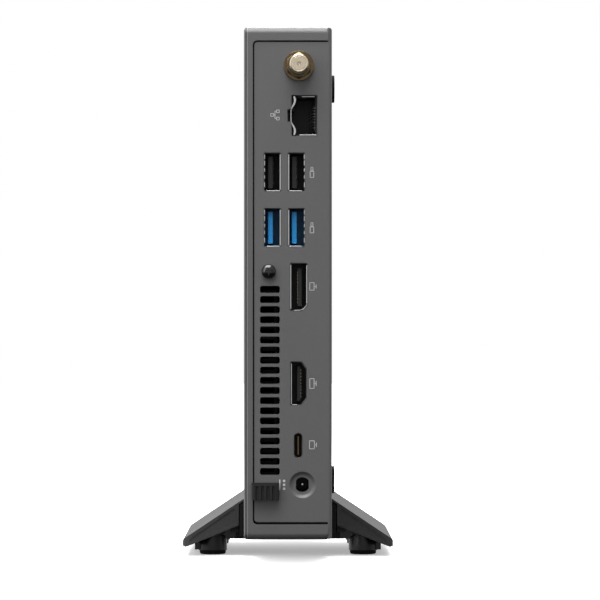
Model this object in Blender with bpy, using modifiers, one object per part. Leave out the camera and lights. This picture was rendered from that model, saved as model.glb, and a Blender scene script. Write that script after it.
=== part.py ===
"""One-litre mini PC standing in a vertical stand: casing, ports, internals and stand as separate pieces.

Sizes are in millimetres and become metres where meshes are made. Chassis pieces are placed from the
"chassis" empty, which lies under the middle of the casing: x across its thickness, y from front to rear
and z up from its lower edge. Stand pieces are placed from the "stand" empty on the ground below it.
"""

import math

import bmesh
import bpy

MM = 0.001
GAP = 0.3  # clearance between neighbouring pieces
TINY = 0.1  # overlap of shapes that join, and overshoot of cutters
FACETS = 24

# Casing
THICKNESS = 30.4
HEIGHT = 177.0
DEPTH = 178.0
COVER_WALL = 1.2
COVER_CORNER = 1.8
COVER_EDGE_ROUND = 1.1
FRAME_SIDE = 3.1
FRAME_TOP = 4.7
FRAME_BOTTOM = 5.3
FRAME_DEPTH = 7.0
FRAME_CORNER = 1.6
PLATE = 1.1
PANEL = 1.0
PANEL_RECESS = 0.4
BEND = 1.2
BEZEL_DEPTH = 8.0
BEZEL_WALL = 2.2
BEZEL_CORNER = 3.0

# Rear sockets: centre across the thickness, centre above the lower edge, opening across, opening up
USB_OUTER_X = 5.3
USB_INNER_X = -2.95
USB_WIDE = 6.0
USB_TALL = 13.5
USB_UPPER_Z = 126.9
USB_LOWER_Z = 107.75
USB_TONGUE = 1.9
USB_TONGUE_SHIFT = 0.75
LAN_X = -5.7
LAN_Z = 146.4
LAN_WIDE = 9.0
LAN_TALL = 14.2
LAN_LATCH_WIDE = 1.4
LAN_LATCH_TALL = 4.4
LAN_BODY_DEPTH = 21.0
VIDEO_UPPER_X = -3.75
VIDEO_UPPER_Z = 87.25
VIDEO_UPPER_WIDE = 6.1
VIDEO_UPPER_TALL = 16.7
VIDEO_UPPER_CUT = 1.8
VIDEO_LOWER_X = -3.7
VIDEO_LOWER_Z = 53.95
VIDEO_LOWER_WIDE = 5.8
VIDEO_LOWER_TALL = 15.3
VIDEO_LOWER_CUT = 2.2
USBC_X = -3.55
USBC_Z = 32.5
USBC_WIDE = 3.1
USBC_TALL = 8.8
INLET_X = -5.0
INLET_Z = 19.0
INLET_BORE = 2.6
INLET_BODY = 9.4
INLET_BODY_DEPTH = 16.0
DISH = 4.65
DISH_DEPTH = 0.9
JACK_X = -3.8
JACK_Z = 163.5
JACK_RADIUS = 3.2
JACK_PROUD = 10.0
SCREW_X = 6.6
SCREW_Z = 92.6
SCREW_HEAD = 2.5
SCREW_SHANK = 1.2
VENT_X = 6.2
VENT_WIDE = 6.8
VENT_TALL = 2.4
VENT_PITCH = 3.49
VENT_COUNT = 19
VENT_LOWEST = 23.6
VENT_CORNER = 0.7
LATCH_X = 7.75
LATCH_Z = 16.8
LATCH_WIDE = 9.5
LATCH_TALL = 6.0
LATCH_PROUD = 2.6
LATCH_TRAVEL = 2.5

# Front
BUTTON_Z = 164.0
BUTTON_RADIUS = 4.4
BUTTON_TRAVEL = 0.6
LIGHT_Z = 155.5
FRONT_USB_Z = 122.0
FRONT_USBC_Z = 138.0
AUDIO_X = -3.6
AUDIO_Z = 147.5
INTAKE_WIDE = 19.0
INTAKE_TALL = 2.6
INTAKE_PITCH = 5.4
INTAKE_COUNT = 17
INTAKE_LOWEST = 14.0
FILTER_THICK = 0.8

# Inside
BOARD_TOP_X = -7.5
BOARD = 1.6
BOARD_FRONT = 10.0
BOARD_INSET = 8.0
CARD_TO_PANEL = 33.3
CARD_LENGTH = 30.0
CARD_Z = (143.0, 165.0)
PROCESSOR = 37.5
PROCESSOR_THICK = 3.8
COLD_PLATE = 34.0
MEMORY_LENGTH = 30.0
MEMORY_Z = (18.0, 87.6)
DRIVE_Y = (-36.0, -14.0)
DRIVE_Z = (90.0, 168.0)
DRIVE_CHIPS = ((96.0, 110.0), (118.0, 134.0), (140.0, 156.0))
CARD_LIFT = 2.2
CARD_THICK = 0.9
CELL_Y = 12.0
CELL_Z = 112.0
STANDOFF_RADIUS = 2.6
FAN_Y = 18.0
FAN_Z = 54.0
FAN_RADIUS = 24.0
FAN_CLEAR = 2.2
FAN_BLADES = 15
FAN_HUB = 11.0
FAN_SHAFT = 1.5
SHAFT_CLEAR = 0.1
BLOWER_LOW_X = 3.3
BLOWER_WALL = 1.0
FINS = 17
FIN_DEPTH = 24.0
FIN_BASE = 1.2
FIN_SHARE = 0.34
PIPE_RADIUS = 1.4

# Stand
STAND_DEPTH = 80.0
STAND_HALF = 38.2
CHASSIS_LIFT = 9.3
LINER = 2.0
LINER_BOTTOM = 7.0
CRADLE_TOP = 19.6
WING_LIP = 0.8
WING_TIP_TOP = 6.0
WING_TIP_BOTTOM = 3.3
WING_SKIN = 2.0
WING_UNDER = 11.2
WING_CORNER = 4.0
WING_RIB = 3.2
RIB_BOTTOM = 8.4
BRIDGE_LOW = 5.0
BRIDGE_DEPTH = 40.0
BOSS_X = 27.5
BOSS_INSET = 13.0
BOSS_WALL = 0.9
BOSS_BOTTOM = 1.4
BOSS_TOP = 8.2
PAD_RADIUS = 4.8
PAD_HEIGHT = 2.6
CASE_FOOT = 4.8
CASE_FOOT_PROUD = 1.15
CASE_FOOT_INSET_Y = 20.0
CASE_FOOT_INSET_Z = 19.85

# Places that follow from the sizes above
HALF = THICKNESS / 2
REAR = DEPTH / 2
FRONT = -DEPTH / 2
PANEL_OUT = REAR - PANEL_RECESS
PANEL_IN = PANEL_OUT - PANEL
SOCKET_FACE = PANEL_IN - GAP
PLATE_IN = -HALF + PLATE
COVER_END = PLATE_IN + 2 * GAP
COVER_IN = HALF - COVER_WALL
OPEN_X = HALF - FRAME_SIDE
OPEN_LOW = FRAME_BOTTOM
OPEN_HIGH = HEIGHT - FRAME_TOP
COVER_FRONT = FRONT + BEZEL_DEPTH + GAP
BOARD_UNDER_X = BOARD_TOP_X - BOARD
BOARD_START = FRONT + BOARD_FRONT
BOARD_END = SOCKET_FACE - GAP
BLOWER_HIGH_X = COVER_IN - 3 * GAP
BLOWER_THICK = BLOWER_HIGH_X - BLOWER_LOW_X
BOSS_RADIUS = PAD_RADIUS + GAP + BOSS_WALL
CRADLE_X = HALF + GAP + LINER + GAP
WING_SLOPE = (CRADLE_TOP - WING_TIP_TOP) / (STAND_HALF - CRADLE_X)
SCREW_TAB_Y = (PANEL_IN - 4.0, PANEL_IN - 2.4)
FINS_END = SCREW_TAB_Y[0] - GAP
BODY_Y = -(JACK_PROUD - PANEL_RECESS) / 2

PARTS = "vertical_mini_pc"
CUTTERS = "cutters"
TOWARDS = {
    "+X": (0, math.pi / 2, 0),
    "-X": (0, -math.pi / 2, 0),
    "+Y": (-math.pi / 2, 0, 0),
    "+Z": (0, 0, 0),
}


# Tools

def clear_scene():
    for obj in list(bpy.data.objects):
        bpy.data.objects.remove(obj, do_unlink=True)
    for name in (PARTS, CUTTERS):
        bpy.context.scene.collection.children.link(bpy.data.collections.new(name))


def finish(name, colour, roughness, metallic=0.0):
    material = bpy.data.materials.get(name)
    if material is None:
        material = bpy.data.materials.new(name)
        material.use_nodes = True
        shader = material.node_tree.nodes["Principled BSDF"]
        shader.inputs["Base Color"].default_value = (*colour, 1.0)
        shader.inputs["Roughness"].default_value = roughness
        shader.inputs["Metallic"].default_value = metallic
        material.diffuse_color = (*colour, 1.0)
    return material


def painted():
    return finish("painted_steel", (0.115, 0.115, 0.118), 0.45, 0.3)


def black_plastic():
    return finish("black_plastic", (0.02, 0.02, 0.021), 0.5)


def dark_plastic():
    return finish("dark_plastic", (0.05, 0.05, 0.052), 0.5)


def blue_plastic():
    return finish("blue_plastic", (0.01, 0.19, 0.42), 0.45)


def rubber():
    return finish("rubber", (0.012, 0.012, 0.012), 0.8)


def bright_steel():
    return finish("bright_steel", (0.72, 0.72, 0.73), 0.3, 1.0)


def gold():
    return finish("gold", (0.83, 0.62, 0.3), 0.3, 1.0)


def copper():
    return finish("copper", (0.72, 0.36, 0.22), 0.35, 1.0)


def aluminium():
    return finish("aluminium", (0.75, 0.76, 0.77), 0.38, 1.0)


def board_green():
    return finish("board_green", (0.015, 0.09, 0.045), 0.5)


def clear_plastic():
    return finish("clear_plastic", (0.85, 0.87, 0.88), 0.2)


def add(name, mesh, look, frame, place=(0, 0, 0), turn=(0, 0, 0)):
    """Links a mesh as a part, or as a hidden cutter where look is None."""
    obj = bpy.data.objects.new(name, mesh)
    obj.parent = bpy.data.objects[frame]
    obj.location = [value * MM for value in place]
    obj.rotation_euler = turn
    if look is None:
        obj.hide_render = True
        obj.display_type = "WIRE"
        bpy.data.collections[CUTTERS].objects.link(obj)
    else:
        mesh.materials.append(look)
        bpy.data.collections[PARTS].objects.link(obj)
    return obj


def mesh_from(name, shape):
    mesh = bpy.data.meshes.new(name)
    bmesh.ops.recalc_face_normals(shape, faces=shape.faces)
    shape.to_mesh(mesh)
    shape.free()
    return mesh


def block(name, x, y, z, look=None, frame="chassis", bevel=0.0, segments=2, pick=None):
    """A box between the given spans; bevel rounds the edges that pick accepts, or all of them."""
    size = [high - low for low, high in (x, y, z)]
    middle = [(low + high) / 2 for low, high in (x, y, z)]
    shape = bmesh.new()
    bmesh.ops.create_cube(shape, size=1.0)
    bmesh.ops.scale(shape, vec=[side * MM for side in size], verts=shape.verts)
    if bevel:
        edges = [edge for edge in shape.edges if pick is None or pick(edge)]
        bmesh.ops.bevel(
            shape, geom=edges, offset=bevel * MM, segments=segments, affect="EDGES", profile=0.5
        )
    return add(name, mesh_from(name, shape), look, frame, middle)


def along(axis):
    """Accepts the edges that run along one axis, for block's pick."""
    def test(edge):
        run = edge.verts[1].co - edge.verts[0].co
        return abs(run[axis]) > 0.9 * run.length
    return test


def rod(name, centre, radius, length, axis, look=None, frame="chassis", sides=FACETS):
    shape = bmesh.new()
    bmesh.ops.create_cone(
        shape, cap_ends=True, segments=sides, radius1=radius * MM, radius2=radius * MM,
        depth=length * MM,
    )
    mesh = mesh_from(name, shape)
    mesh.shade_smooth()
    mesh.set_sharp_from_angle(angle=math.radians(40))
    return add(name, mesh, look, frame, centre, TOWARDS[axis])


def turned(name, profile, place, axis, look=None, frame="chassis", steps=FACETS):
    """A solid of revolution; profile lists (radius, height) from the top of its axis to the bottom."""
    mesh = bpy.data.meshes.new(name)
    points = [(radius * MM, 0, height * MM) for radius, height in profile]
    mesh.from_pydata(points, [(i, i + 1) for i in range(len(points) - 1)], [])
    obj = add(name, mesh, look, frame, place, TOWARDS[axis])
    screw = obj.modifiers.new("turn", "SCREW")
    screw.steps = screw.render_steps = steps
    screw.use_merge_vertices = True
    screw.merge_threshold = 1e-6
    screw.use_smooth_shade = False
    return obj


def curve_to_mesh(curve_object, name, look, frame):
    """Bakes a curve into a welded mesh object that stands where the curve stood."""
    bpy.context.view_layer.update()
    graph = bpy.context.evaluated_depsgraph_get()
    mesh = bpy.data.meshes.new_from_object(curve_object.evaluated_get(graph))
    mesh.name = name
    mesh.materials.clear()
    shape = bmesh.new()
    shape.from_mesh(mesh)
    bmesh.ops.remove_doubles(shape, verts=shape.verts, dist=1e-6)
    bmesh.ops.recalc_face_normals(shape, faces=shape.faces)
    shape.to_mesh(mesh)
    shape.free()
    place = [value / MM for value in curve_object.location]
    turn = tuple(curve_object.rotation_euler)
    data = curve_object.data
    bpy.data.objects.remove(curve_object)
    bpy.data.curves.remove(data)
    return add(name, mesh, look, frame, place, turn)


def extruded(name, outline, centre, thickness, axis, look=None, frame="chassis"):
    """A flat outline given a thickness. For axis Y it lies in x and z, for X in y and z, for Z in x and y."""
    curve = bpy.data.curves.new(name + "_outline", "CURVE")
    curve.dimensions = "2D"
    curve.fill_mode = "BOTH"
    curve.extrude = thickness * MM / 2
    spline = curve.splines.new("POLY")
    spline.points.add(len(outline) - 1)
    for point, (across, up) in zip(spline.points, outline):
        point.co = (across * MM, up * MM, 0, 1)
    spline.use_cyclic_u = True
    obj = bpy.data.objects.new(name + "_outline", curve)
    bpy.data.collections[CUTTERS].objects.link(obj)
    obj.location = [value * MM for value in centre]
    obj.rotation_euler = {
        "Y": (math.pi / 2, 0, 0), "X": (math.pi / 2, 0, math.pi / 2), "Z": (0, 0, 0)
    }[axis]
    return curve_to_mesh(obj, name, look, frame)


def rounded(corners, steps=3):
    """An outline whose corners are (across, up, radius); a radius of 0 keeps the corner sharp."""
    outline = []
    for i, (x, y, radius) in enumerate(corners):
        if not radius:
            outline.append((x, y))
            continue
        towards = []
        for other in (corners[i - 1], corners[(i + 1) % len(corners)]):
            dx, dy = other[0] - x, other[1] - y
            length = math.hypot(dx, dy)
            towards.append((dx / length, dy / length))
        (ax, ay), (bx, by) = towards
        half_angle = math.acos(max(-1.0, min(1.0, ax * bx + ay * by))) / 2
        reach = radius / math.tan(half_angle)
        bisector = math.hypot(ax + bx, ay + by)
        away = radius / math.sin(half_angle)
        cx, cy = x + (ax + bx) / bisector * away, y + (ay + by) / bisector * away
        start = math.atan2(y + ay * reach - cy, x + ax * reach - cx)
        end = math.atan2(y + by * reach - cy, x + bx * reach - cx)
        sweep = (end - start + math.pi) % (2 * math.pi) - math.pi
        for step in range(steps + 1):
            angle = start + sweep * step / steps
            outline.append((cx + radius * math.cos(angle), cy + radius * math.sin(angle)))
    return outline


def rectangle(x, z, radii):
    """Corners of a rectangle between spans x and z: radii from the low-low corner, anticlockwise."""
    (x0, x1), (z0, z1) = x, z
    places = ((x0, z0), (x1, z0), (x1, z1), (x0, z1))
    return rounded([(*place, radius) for place, radius in zip(places, radii)])


def about(centre, size):
    return (centre - size / 2, centre + size / 2)


def grown(span, by):
    return (span[0] - by, span[1] + by)


def combine(target, other, operation="DIFFERENCE"):
    boolean = target.modifiers.new(other.name, "BOOLEAN")
    boolean.object = other
    boolean.operation = operation
    boolean.solver = "EXACT"
    return target


def repeat(obj, count, pitch, axis=2):
    """Rows of a shape along one of its own axes."""
    array = obj.modifiers.new("rows", "ARRAY")
    array.count = count
    array.use_relative_offset = False
    array.use_constant_offset = True
    array.constant_offset_displace = [pitch * MM if i == axis else 0 for i in range(3)]
    return obj


def frames():
    """Empties that carry the stand and the chassis."""
    for name, height in (("stand", 0.0), ("chassis", CHASSIS_LIFT)):
        empty = bpy.data.objects.new(name, None)
        empty.location = (0, BODY_Y * MM, height * MM)
        empty.empty_display_size = 0.02
        bpy.context.scene.collection.objects.link(empty)


# Casing

def cover_shell():
    """Folded cover: outer side, top and bottom walls, with a thick frame round the rear opening."""
    middle_y = (COVER_FRONT + REAR) / 2
    length = REAR - COVER_FRONT
    outer = rectangle((COVER_END, HALF), (0, HEIGHT), (0, COVER_CORNER, COVER_CORNER, 0))
    cover = extruded("cover_shell", outer, (0, middle_y, 0), length, "Y", painted())
    shape = bmesh.new()
    shape.from_mesh(cover.data)
    # The outline stands upright in x and z, so the rear rim is at the low end of the mesh's own z.
    rim = [
        edge for edge in shape.edges
        if all(abs(vert.co.z + length * MM / 2) < 1e-6 for vert in edge.verts)
        and edge.is_manifold and edge.calc_face_angle() > 1.0
        and max(vert.co.x for vert in edge.verts) > COVER_END * MM + 1e-6
    ]
    bmesh.ops.bevel(
        shape, geom=rim, offset=COVER_EDGE_ROUND * MM, segments=3, affect="EDGES", profile=0.5
    )
    shape.to_mesh(cover.data)
    shape.free()
    inner_corner = COVER_CORNER - COVER_WALL / 2
    hollow = rectangle(
        (COVER_END - 2, COVER_IN), (COVER_WALL, HEIGHT - COVER_WALL),
        (0, inner_corner, inner_corner, 0),
    )
    hollow_y = (COVER_FRONT - 2, REAR - FRAME_DEPTH)
    combine(cover, extruded(
        "cover_hollow", hollow, (0, sum(hollow_y) / 2, 0), hollow_y[1] - hollow_y[0], "Y"
    ))
    window = rectangle(
        (COVER_END - 2, OPEN_X), (OPEN_LOW, OPEN_HIGH), (0, FRAME_CORNER, FRAME_CORNER, 0)
    )
    combine(cover, extruded("cover_window", window, (0, REAR, 0), 4 * FRAME_DEPTH, "Y"))
    tab_x = (SCREW_X - 3.4, COVER_IN + TINY)
    combine(cover, block(
        "cover_tab", tab_x, SCREW_TAB_Y, about(SCREW_Z, 7.4)), "UNION")
    combine(cover, rod("cover_tab_hole", (SCREW_X, sum(SCREW_TAB_Y) / 2, SCREW_Z),
                       SCREW_SHANK + 0.2, 6.0, "+Y", sides=16))
    return cover


def base_tray():
    """Side plate and rear panel folded from one sheet, with every rear opening."""
    plan = rounded([
        (-HALF, COVER_FRONT, 0), (PLATE_IN, COVER_FRONT, 0), (PLATE_IN, PANEL_IN, 0),
        (OPEN_X - GAP, PANEL_IN, 0), (OPEN_X - GAP, PANEL_OUT, 0), (-HALF, PANEL_OUT, BEND),
    ])
    tray = extruded("base_tray", plan, (0, 0, HEIGHT / 2), HEIGHT, "Z", painted())
    trim = block(
        "panel_trim", (PLATE_IN + GAP, HALF), grown((PANEL_IN, PANEL_OUT), 2), (-2, HEIGHT + 2))
    corner = FRAME_CORNER - GAP
    kept = rectangle(
        (-2 * HALF, OPEN_X - GAP), (OPEN_LOW + GAP, OPEN_HIGH - GAP), (0, corner, corner, 0))
    combine(trim, extruded("panel_kept", kept, (0, PANEL_OUT, 0), 8.0, "Y"))
    combine(tray, trim)
    combine(tray, rod("tray_dish_cup", (INLET_X, PANEL_IN - 0.4, INLET_Z), DISH + 0.4,
                      2 * PANEL, "+Y", sides=32), "UNION")
    for cutter in panel_cutters():
        combine(tray, cutter)
    return tray


def panel_cutters():
    cutters = []
    deep = 8 * PANEL

    def rect_hole(name, x, z, radius):
        cutters.append(extruded(
            name, rectangle(x, z, (radius,) * 4), (0, PANEL_OUT, 0), deep, "Y"))

    for row, z in (("upper", USB_UPPER_Z), ("lower", USB_LOWER_Z)):
        for side, x in (("outer", USB_OUTER_X), ("inner", USB_INNER_X)):
            rect_hole(f"hole_usb_{row}_{side}", about(x, USB_WIDE), about(z, USB_TALL), 0.4)
    rect_hole("hole_usbc", about(USBC_X, USBC_WIDE), about(USBC_Z, USBC_TALL), 1.5)
    slot = about(LATCH_X - LATCH_TRAVEL / 2, 3.0 + LATCH_TRAVEL + 2 * GAP)
    rect_hole("hole_latch", slot, about(LATCH_Z, 3.0 + 2 * GAP), 0)
    cutters.append(extruded("hole_network", lan_outline(0.0), (0, PANEL_OUT, 0), deep, "Y"))
    cutters.append(extruded(
        "hole_video_upper", video_upper_outline(0.0), (0, PANEL_OUT, 0), deep, "Y"))
    cutters.append(extruded(
        "hole_video_lower", video_lower_outline(0.0), (0, PANEL_OUT, 0), deep, "Y"))
    cutters.append(turned(
        "hole_dish",
        [(0, 1), (DISH + 0.2, 1), (DISH, 0), (DISH - 1.0, -DISH_DEPTH), (0, -DISH_DEPTH)],
        (INLET_X, PANEL_OUT, INLET_Z), "+Y", steps=32))
    cutters.append(rod("hole_inlet", (INLET_X, PANEL_OUT, INLET_Z), INLET_BORE, deep, "+Y"))
    cutters.append(rod(
        "hole_jack", (JACK_X, PANEL_OUT, JACK_Z), JACK_RADIUS + GAP, 4 * PANEL, "+Y"))
    cutters.append(rod(
        "hole_screw", (SCREW_X, PANEL_OUT, SCREW_Z), SCREW_SHANK + 0.4, 4 * PANEL, "+Y", sides=16))
    vent = extruded(
        "hole_vents",
        rectangle(about(0, VENT_WIDE), about(0, VENT_TALL), (VENT_CORNER,) * 4),
        (VENT_X, PANEL_OUT, VENT_LOWEST), 4 * PANEL, "Y")
    # The outline's own y stands upright, so rows repeat along it.
    cutters.append(repeat(vent, VENT_COUNT, VENT_PITCH, axis=1))
    return cutters


def lan_outline(by):
    x0, x1 = grown(about(LAN_X, LAN_WIDE), by)
    z0, z1 = grown(about(LAN_Z, LAN_TALL), by)
    n0, n1 = grown(about(LAN_Z, LAN_LATCH_TALL), by)
    nx = x1 + LAN_LATCH_WIDE
    return [(x0, z0), (x1, z0), (x1, n0), (nx, n0), (nx, n1), (x1, n1), (x1, z1), (x0, z1)]


def video_upper_outline(by):
    x0, x1 = grown(about(VIDEO_UPPER_X, VIDEO_UPPER_WIDE), by)
    z0, z1 = grown(about(VIDEO_UPPER_Z, VIDEO_UPPER_TALL), by)
    cut = VIDEO_UPPER_CUT
    return rounded([
        (x0 + cut, z0, 0.3), (x1, z0, 0.4), (x1, z1, 0.4), (x0, z1, 0.4), (x0, z0 + cut, 0.3),
    ], 2)


def video_lower_outline(by):
    x0, x1 = grown(about(VIDEO_LOWER_X, VIDEO_LOWER_WIDE), by)
    z0, z1 = grown(about(VIDEO_LOWER_Z, VIDEO_LOWER_TALL), by)
    cut = VIDEO_LOWER_CUT
    return rounded([
        (x0, z0 + cut, 0.4), (x0 + cut, z0, 0.4), (x1, z0, 0.4), (x1, z1, 0.4),
        (x0 + cut, z1, 0.4), (x0, z1 - cut, 0.4),
    ], 2)


def front_bezel():
    """Moulded front with intake slots and the front openings."""
    x, z = (-HALF, HALF), (0, HEIGHT)
    y = (FRONT, FRONT + BEZEL_DEPTH)
    bezel = extruded(
        "front_bezel", rectangle(x, z, (BEZEL_CORNER,) * 4), (0, sum(y) / 2, 0),
        BEZEL_DEPTH, "Y", dark_plastic())
    back = (FRONT + BEZEL_WALL, y[1] + 2)
    combine(bezel, extruded(
        "bezel_hollow",
        rectangle(grown(x, -BEZEL_WALL), grown(z, -BEZEL_WALL), (BEZEL_CORNER - 1.2,) * 4),
        (0, sum(back) / 2, 0), back[1] - back[0], "Y"))
    deep = 4 * BEZEL_WALL
    slot = block(
        "bezel_intake", about(0, INTAKE_WIDE), about(FRONT, deep),
        about(INTAKE_LOWEST, INTAKE_TALL), bevel=0.9, pick=along(1))
    combine(bezel, repeat(slot, INTAKE_COUNT, INTAKE_PITCH))
    combine(bezel, rod("bezel_button_hole", (0, FRONT, BUTTON_Z), BUTTON_RADIUS + GAP, deep, "+Y"))
    combine(bezel, rod("bezel_light_hole", (0, FRONT, LIGHT_Z), 1.0 + GAP, deep, "+Y", sides=12))
    combine(bezel, rod("bezel_audio_hole", (AUDIO_X, FRONT, AUDIO_Z), 2.9, deep, "+Y"))
    combine(bezel, block(
        "bezel_usb_hole", about(USB_INNER_X, USB_WIDE), about(FRONT, deep),
        about(FRONT_USB_Z, USB_TALL)))
    combine(bezel, extruded(
        "bezel_usbc_hole",
        rectangle(about(USBC_X, USBC_WIDE), about(FRONT_USBC_Z, USBC_TALL), (1.5,) * 4),
        (0, FRONT, 0), deep, "Y"))
    return bezel


def intake_filter():
    """Thin dust screen behind the intake slots."""
    rows = (INTAKE_LOWEST, INTAKE_LOWEST + (INTAKE_COUNT - 1) * INTAKE_PITCH)
    back = FRONT + BEZEL_WALL + GAP
    block("intake_filter", about(0, INTAKE_WIDE + 3.0), (back, back + FILTER_THICK),
          grown(rows, INTAKE_TALL / 2 + 1.5), black_plastic())


def power_button():
    """Push cap; its rim behind the bezel keeps it in. It slides inwards along +Y."""
    rim_front = BEZEL_WALL + GAP
    rim_back = rim_front + 1.0
    face = 0.2
    profile = [
        (0, rim_back), (BUTTON_RADIUS + 1, rim_back), (BUTTON_RADIUS + 1, rim_front),
        (BUTTON_RADIUS, rim_front), (BUTTON_RADIUS, face + 0.4), (BUTTON_RADIUS - 0.4, face),
        (0, face + 0.25),
    ]
    turned("power_button", profile, (0, FRONT, BUTTON_Z), "+Y", dark_plastic())
    behind = FRONT + rim_back + BUTTON_TRAVEL + GAP
    block("power_switch", about(0, 6.0), (behind, behind + 3.4), about(BUTTON_Z, 6.0),
          black_plastic(), bevel=0.4, segments=1)


def status_light():
    profile = [(0, 5.0), (1.6, 5.0), (1.6, 2.6), (1.0, 2.6), (1.0, 0.3), (0, 0.1)]
    turned("status_light", profile, (0, FRONT, LIGHT_Z), "+Y", clear_plastic(), steps=12)


def case_feet():
    places = [(y, z) for z in (CASE_FOOT_INSET_Z, HEIGHT - CASE_FOOT_INSET_Z)
              for y in (REAR - CASE_FOOT_INSET_Y, COVER_FRONT + CASE_FOOT_INSET_Y)]
    top = CASE_FOOT_PROUD
    profile = [(0, top), (CASE_FOOT - 0.3, top), (CASE_FOOT, top - 0.3), (CASE_FOOT, 0.05), (0, 0.05)]
    for number, (y, z) in enumerate(places, 1):
        turned(f"case_foot_{number}", profile, (-HALF, y, z), "-X", rubber())


def cover_screw():
    """Round-head screw with a cross recess, through the panel into the cover's tab."""
    head, under = SCREW_HEAD, 0.15
    dome = [(head * math.sin(a), under + 0.7 + 1.6 * math.cos(a))
            for a in (i * math.pi / 10 for i in range(6))]
    profile = [*dome, (head, under), (SCREW_SHANK, under), (SCREW_SHANK, -6.0), (0, -6.4)]
    screw = turned("cover_screw", profile, (SCREW_X, PANEL_OUT, SCREW_Z), "+Y", black_plastic())
    recess = (PANEL_OUT + 1.2, PANEL_OUT + 4)
    combine(screw, block(
        "recess_flat", about(SCREW_X, 2.6), recess, about(SCREW_Z, 0.6)))
    combine(screw, block(
        "recess_upright", about(SCREW_X, 0.6), recess, about(SCREW_Z, 2.6)))


def cover_latch():
    """Ribbed finger latch that slides across the panel; its stem passes through the panel's slot."""
    x, z = about(LATCH_X, LATCH_WIDE), about(LATCH_Z, LATCH_TALL)
    y = (PANEL_OUT + GAP, PANEL_OUT + GAP + LATCH_PROUD)
    latch = block("cover_latch", x, y, z, black_plastic(), bevel=0.8, segments=2, pick=along(2))
    stem = about(LATCH_X + LATCH_TRAVEL / 2, 3.0)
    stem = (stem[0] - LATCH_TRAVEL / 2, stem[1] - LATCH_TRAVEL / 2)
    combine(latch, block(
        "latch_stem", stem, (PANEL_IN - 2.0, y[0] + TINY), about(LATCH_Z, 3.0)), "UNION")
    for i in range(4):
        groove = x[0] + LATCH_WIDE * (i + 1) / 5
        combine(latch, rod(
            f"latch_groove_{i + 1}", (groove, y[1] + 0.35, LATCH_Z), 0.8, 2 * LATCH_TALL,
            "+Z", sides=10))


# Rear sockets

def antenna_jack():
    outside = JACK_PROUD
    edge = 0.4
    profile = [
        (0, outside - 0.9), (0.55, outside - 0.9), (0.75, outside),
        (JACK_RADIUS - edge, outside), (JACK_RADIUS, outside - edge), (JACK_RADIUS, -PANEL - GAP),
        (JACK_RADIUS + 1.3, -PANEL - GAP), (JACK_RADIUS + 1.3, -PANEL - 2.3),
        (1.4, -PANEL - 2.3), (1.4, -PANEL - 6.3), (0, -PANEL - 6.3),
    ]
    turned("antenna_jack", profile, (JACK_X, PANEL_OUT, JACK_Z), "+Y", gold())
    hole = JACK_RADIUS + 0.15
    washer = 0.7
    rim = JACK_RADIUS + 2.0
    flats = 2 * JACK_RADIUS + 1.6
    ring = [
        (hole, washer), (rim, washer), (rim, 0), (hole, 0), (hole, washer),
    ]
    turned("antenna_washer", ring, (JACK_X, PANEL_OUT + 0.15, JACK_Z), "+Y", bright_steel(), steps=32)
    low = PANEL_OUT + 0.15 + washer + 0.15
    nut = rod("antenna_nut", (JACK_X, low + 1.1, JACK_Z), flats / math.sqrt(3), 2.2, "+Y",
              bright_steel(), sides=6)
    combine(nut, rod("nut_bore", (JACK_X, low + 1.1, JACK_Z), hole, 6, "+Y"))


def network_jack():
    """Eight-contact network socket, let into the board, with the clip's notch on the cover side."""
    x = (LAN_X - LAN_WIDE / 2 - 1.6, LAN_X + LAN_WIDE / 2 + LAN_LATCH_WIDE + 1.0)
    z = grown(about(LAN_Z, LAN_TALL), 1.1)
    jack = block(
        "network_jack", x, (SOCKET_FACE - LAN_BODY_DEPTH, SOCKET_FACE), z, bright_steel())
    combine(jack, extruded(
        "network_hollow", lan_outline(-0.15), (0, SOCKET_FACE, 0), 28.0, "Y"))


def socket(name, shell_spans, outlines, depth, wide, tall, tongues, look, lip=0.9):
    """A metal shell with through openings, and behind it a moulded insert whose tongues reach forwards."""
    x, z = shell_spans
    shell = block(name + "_shell", x, (SOCKET_FACE - depth, SOCKET_FACE), z, bright_steel())
    for number, outline in enumerate(outlines, 1):
        combine(shell, extruded(
            f"{name}_bore_{number}", outline, (0, SOCKET_FACE - depth / 2, 0), 2 * depth, "Y"))
    back = (SOCKET_FACE - depth - GAP - 3.5, SOCKET_FACE - depth - GAP)
    insert = block(name + "_insert", x, back, z, look)
    for number, (tx, tz) in enumerate(tongues, 1):
        combine(insert, block(
            f"{name}_tongue_{number}", about(tx, wide), (back[1] - TINY, SOCKET_FACE - lip),
            about(tz, tall)), "UNION")


def usb_stacks():
    for row, z, look in (
        ("usb_upper", USB_UPPER_Z, black_plastic()), ("usb_lower", USB_LOWER_Z, blue_plastic())
    ):
        outlines = [
            rectangle(about(x, USB_WIDE - 0.6), about(z, USB_TALL - 0.7), (0,) * 4)
            for x in (USB_OUTER_X, USB_INNER_X)
        ]
        spans = (
            (USB_INNER_X - USB_WIDE / 2 - 0.3, USB_OUTER_X + USB_WIDE / 2 + 0.3),
            grown(about(z, USB_TALL), 0.3),
        )
        tongues = [(x + USB_TONGUE_SHIFT, z) for x in (USB_OUTER_X, USB_INNER_X)]
        socket(row, spans, outlines, 13.0, USB_TONGUE, USB_TALL - 2.0, tongues, look)


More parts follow.
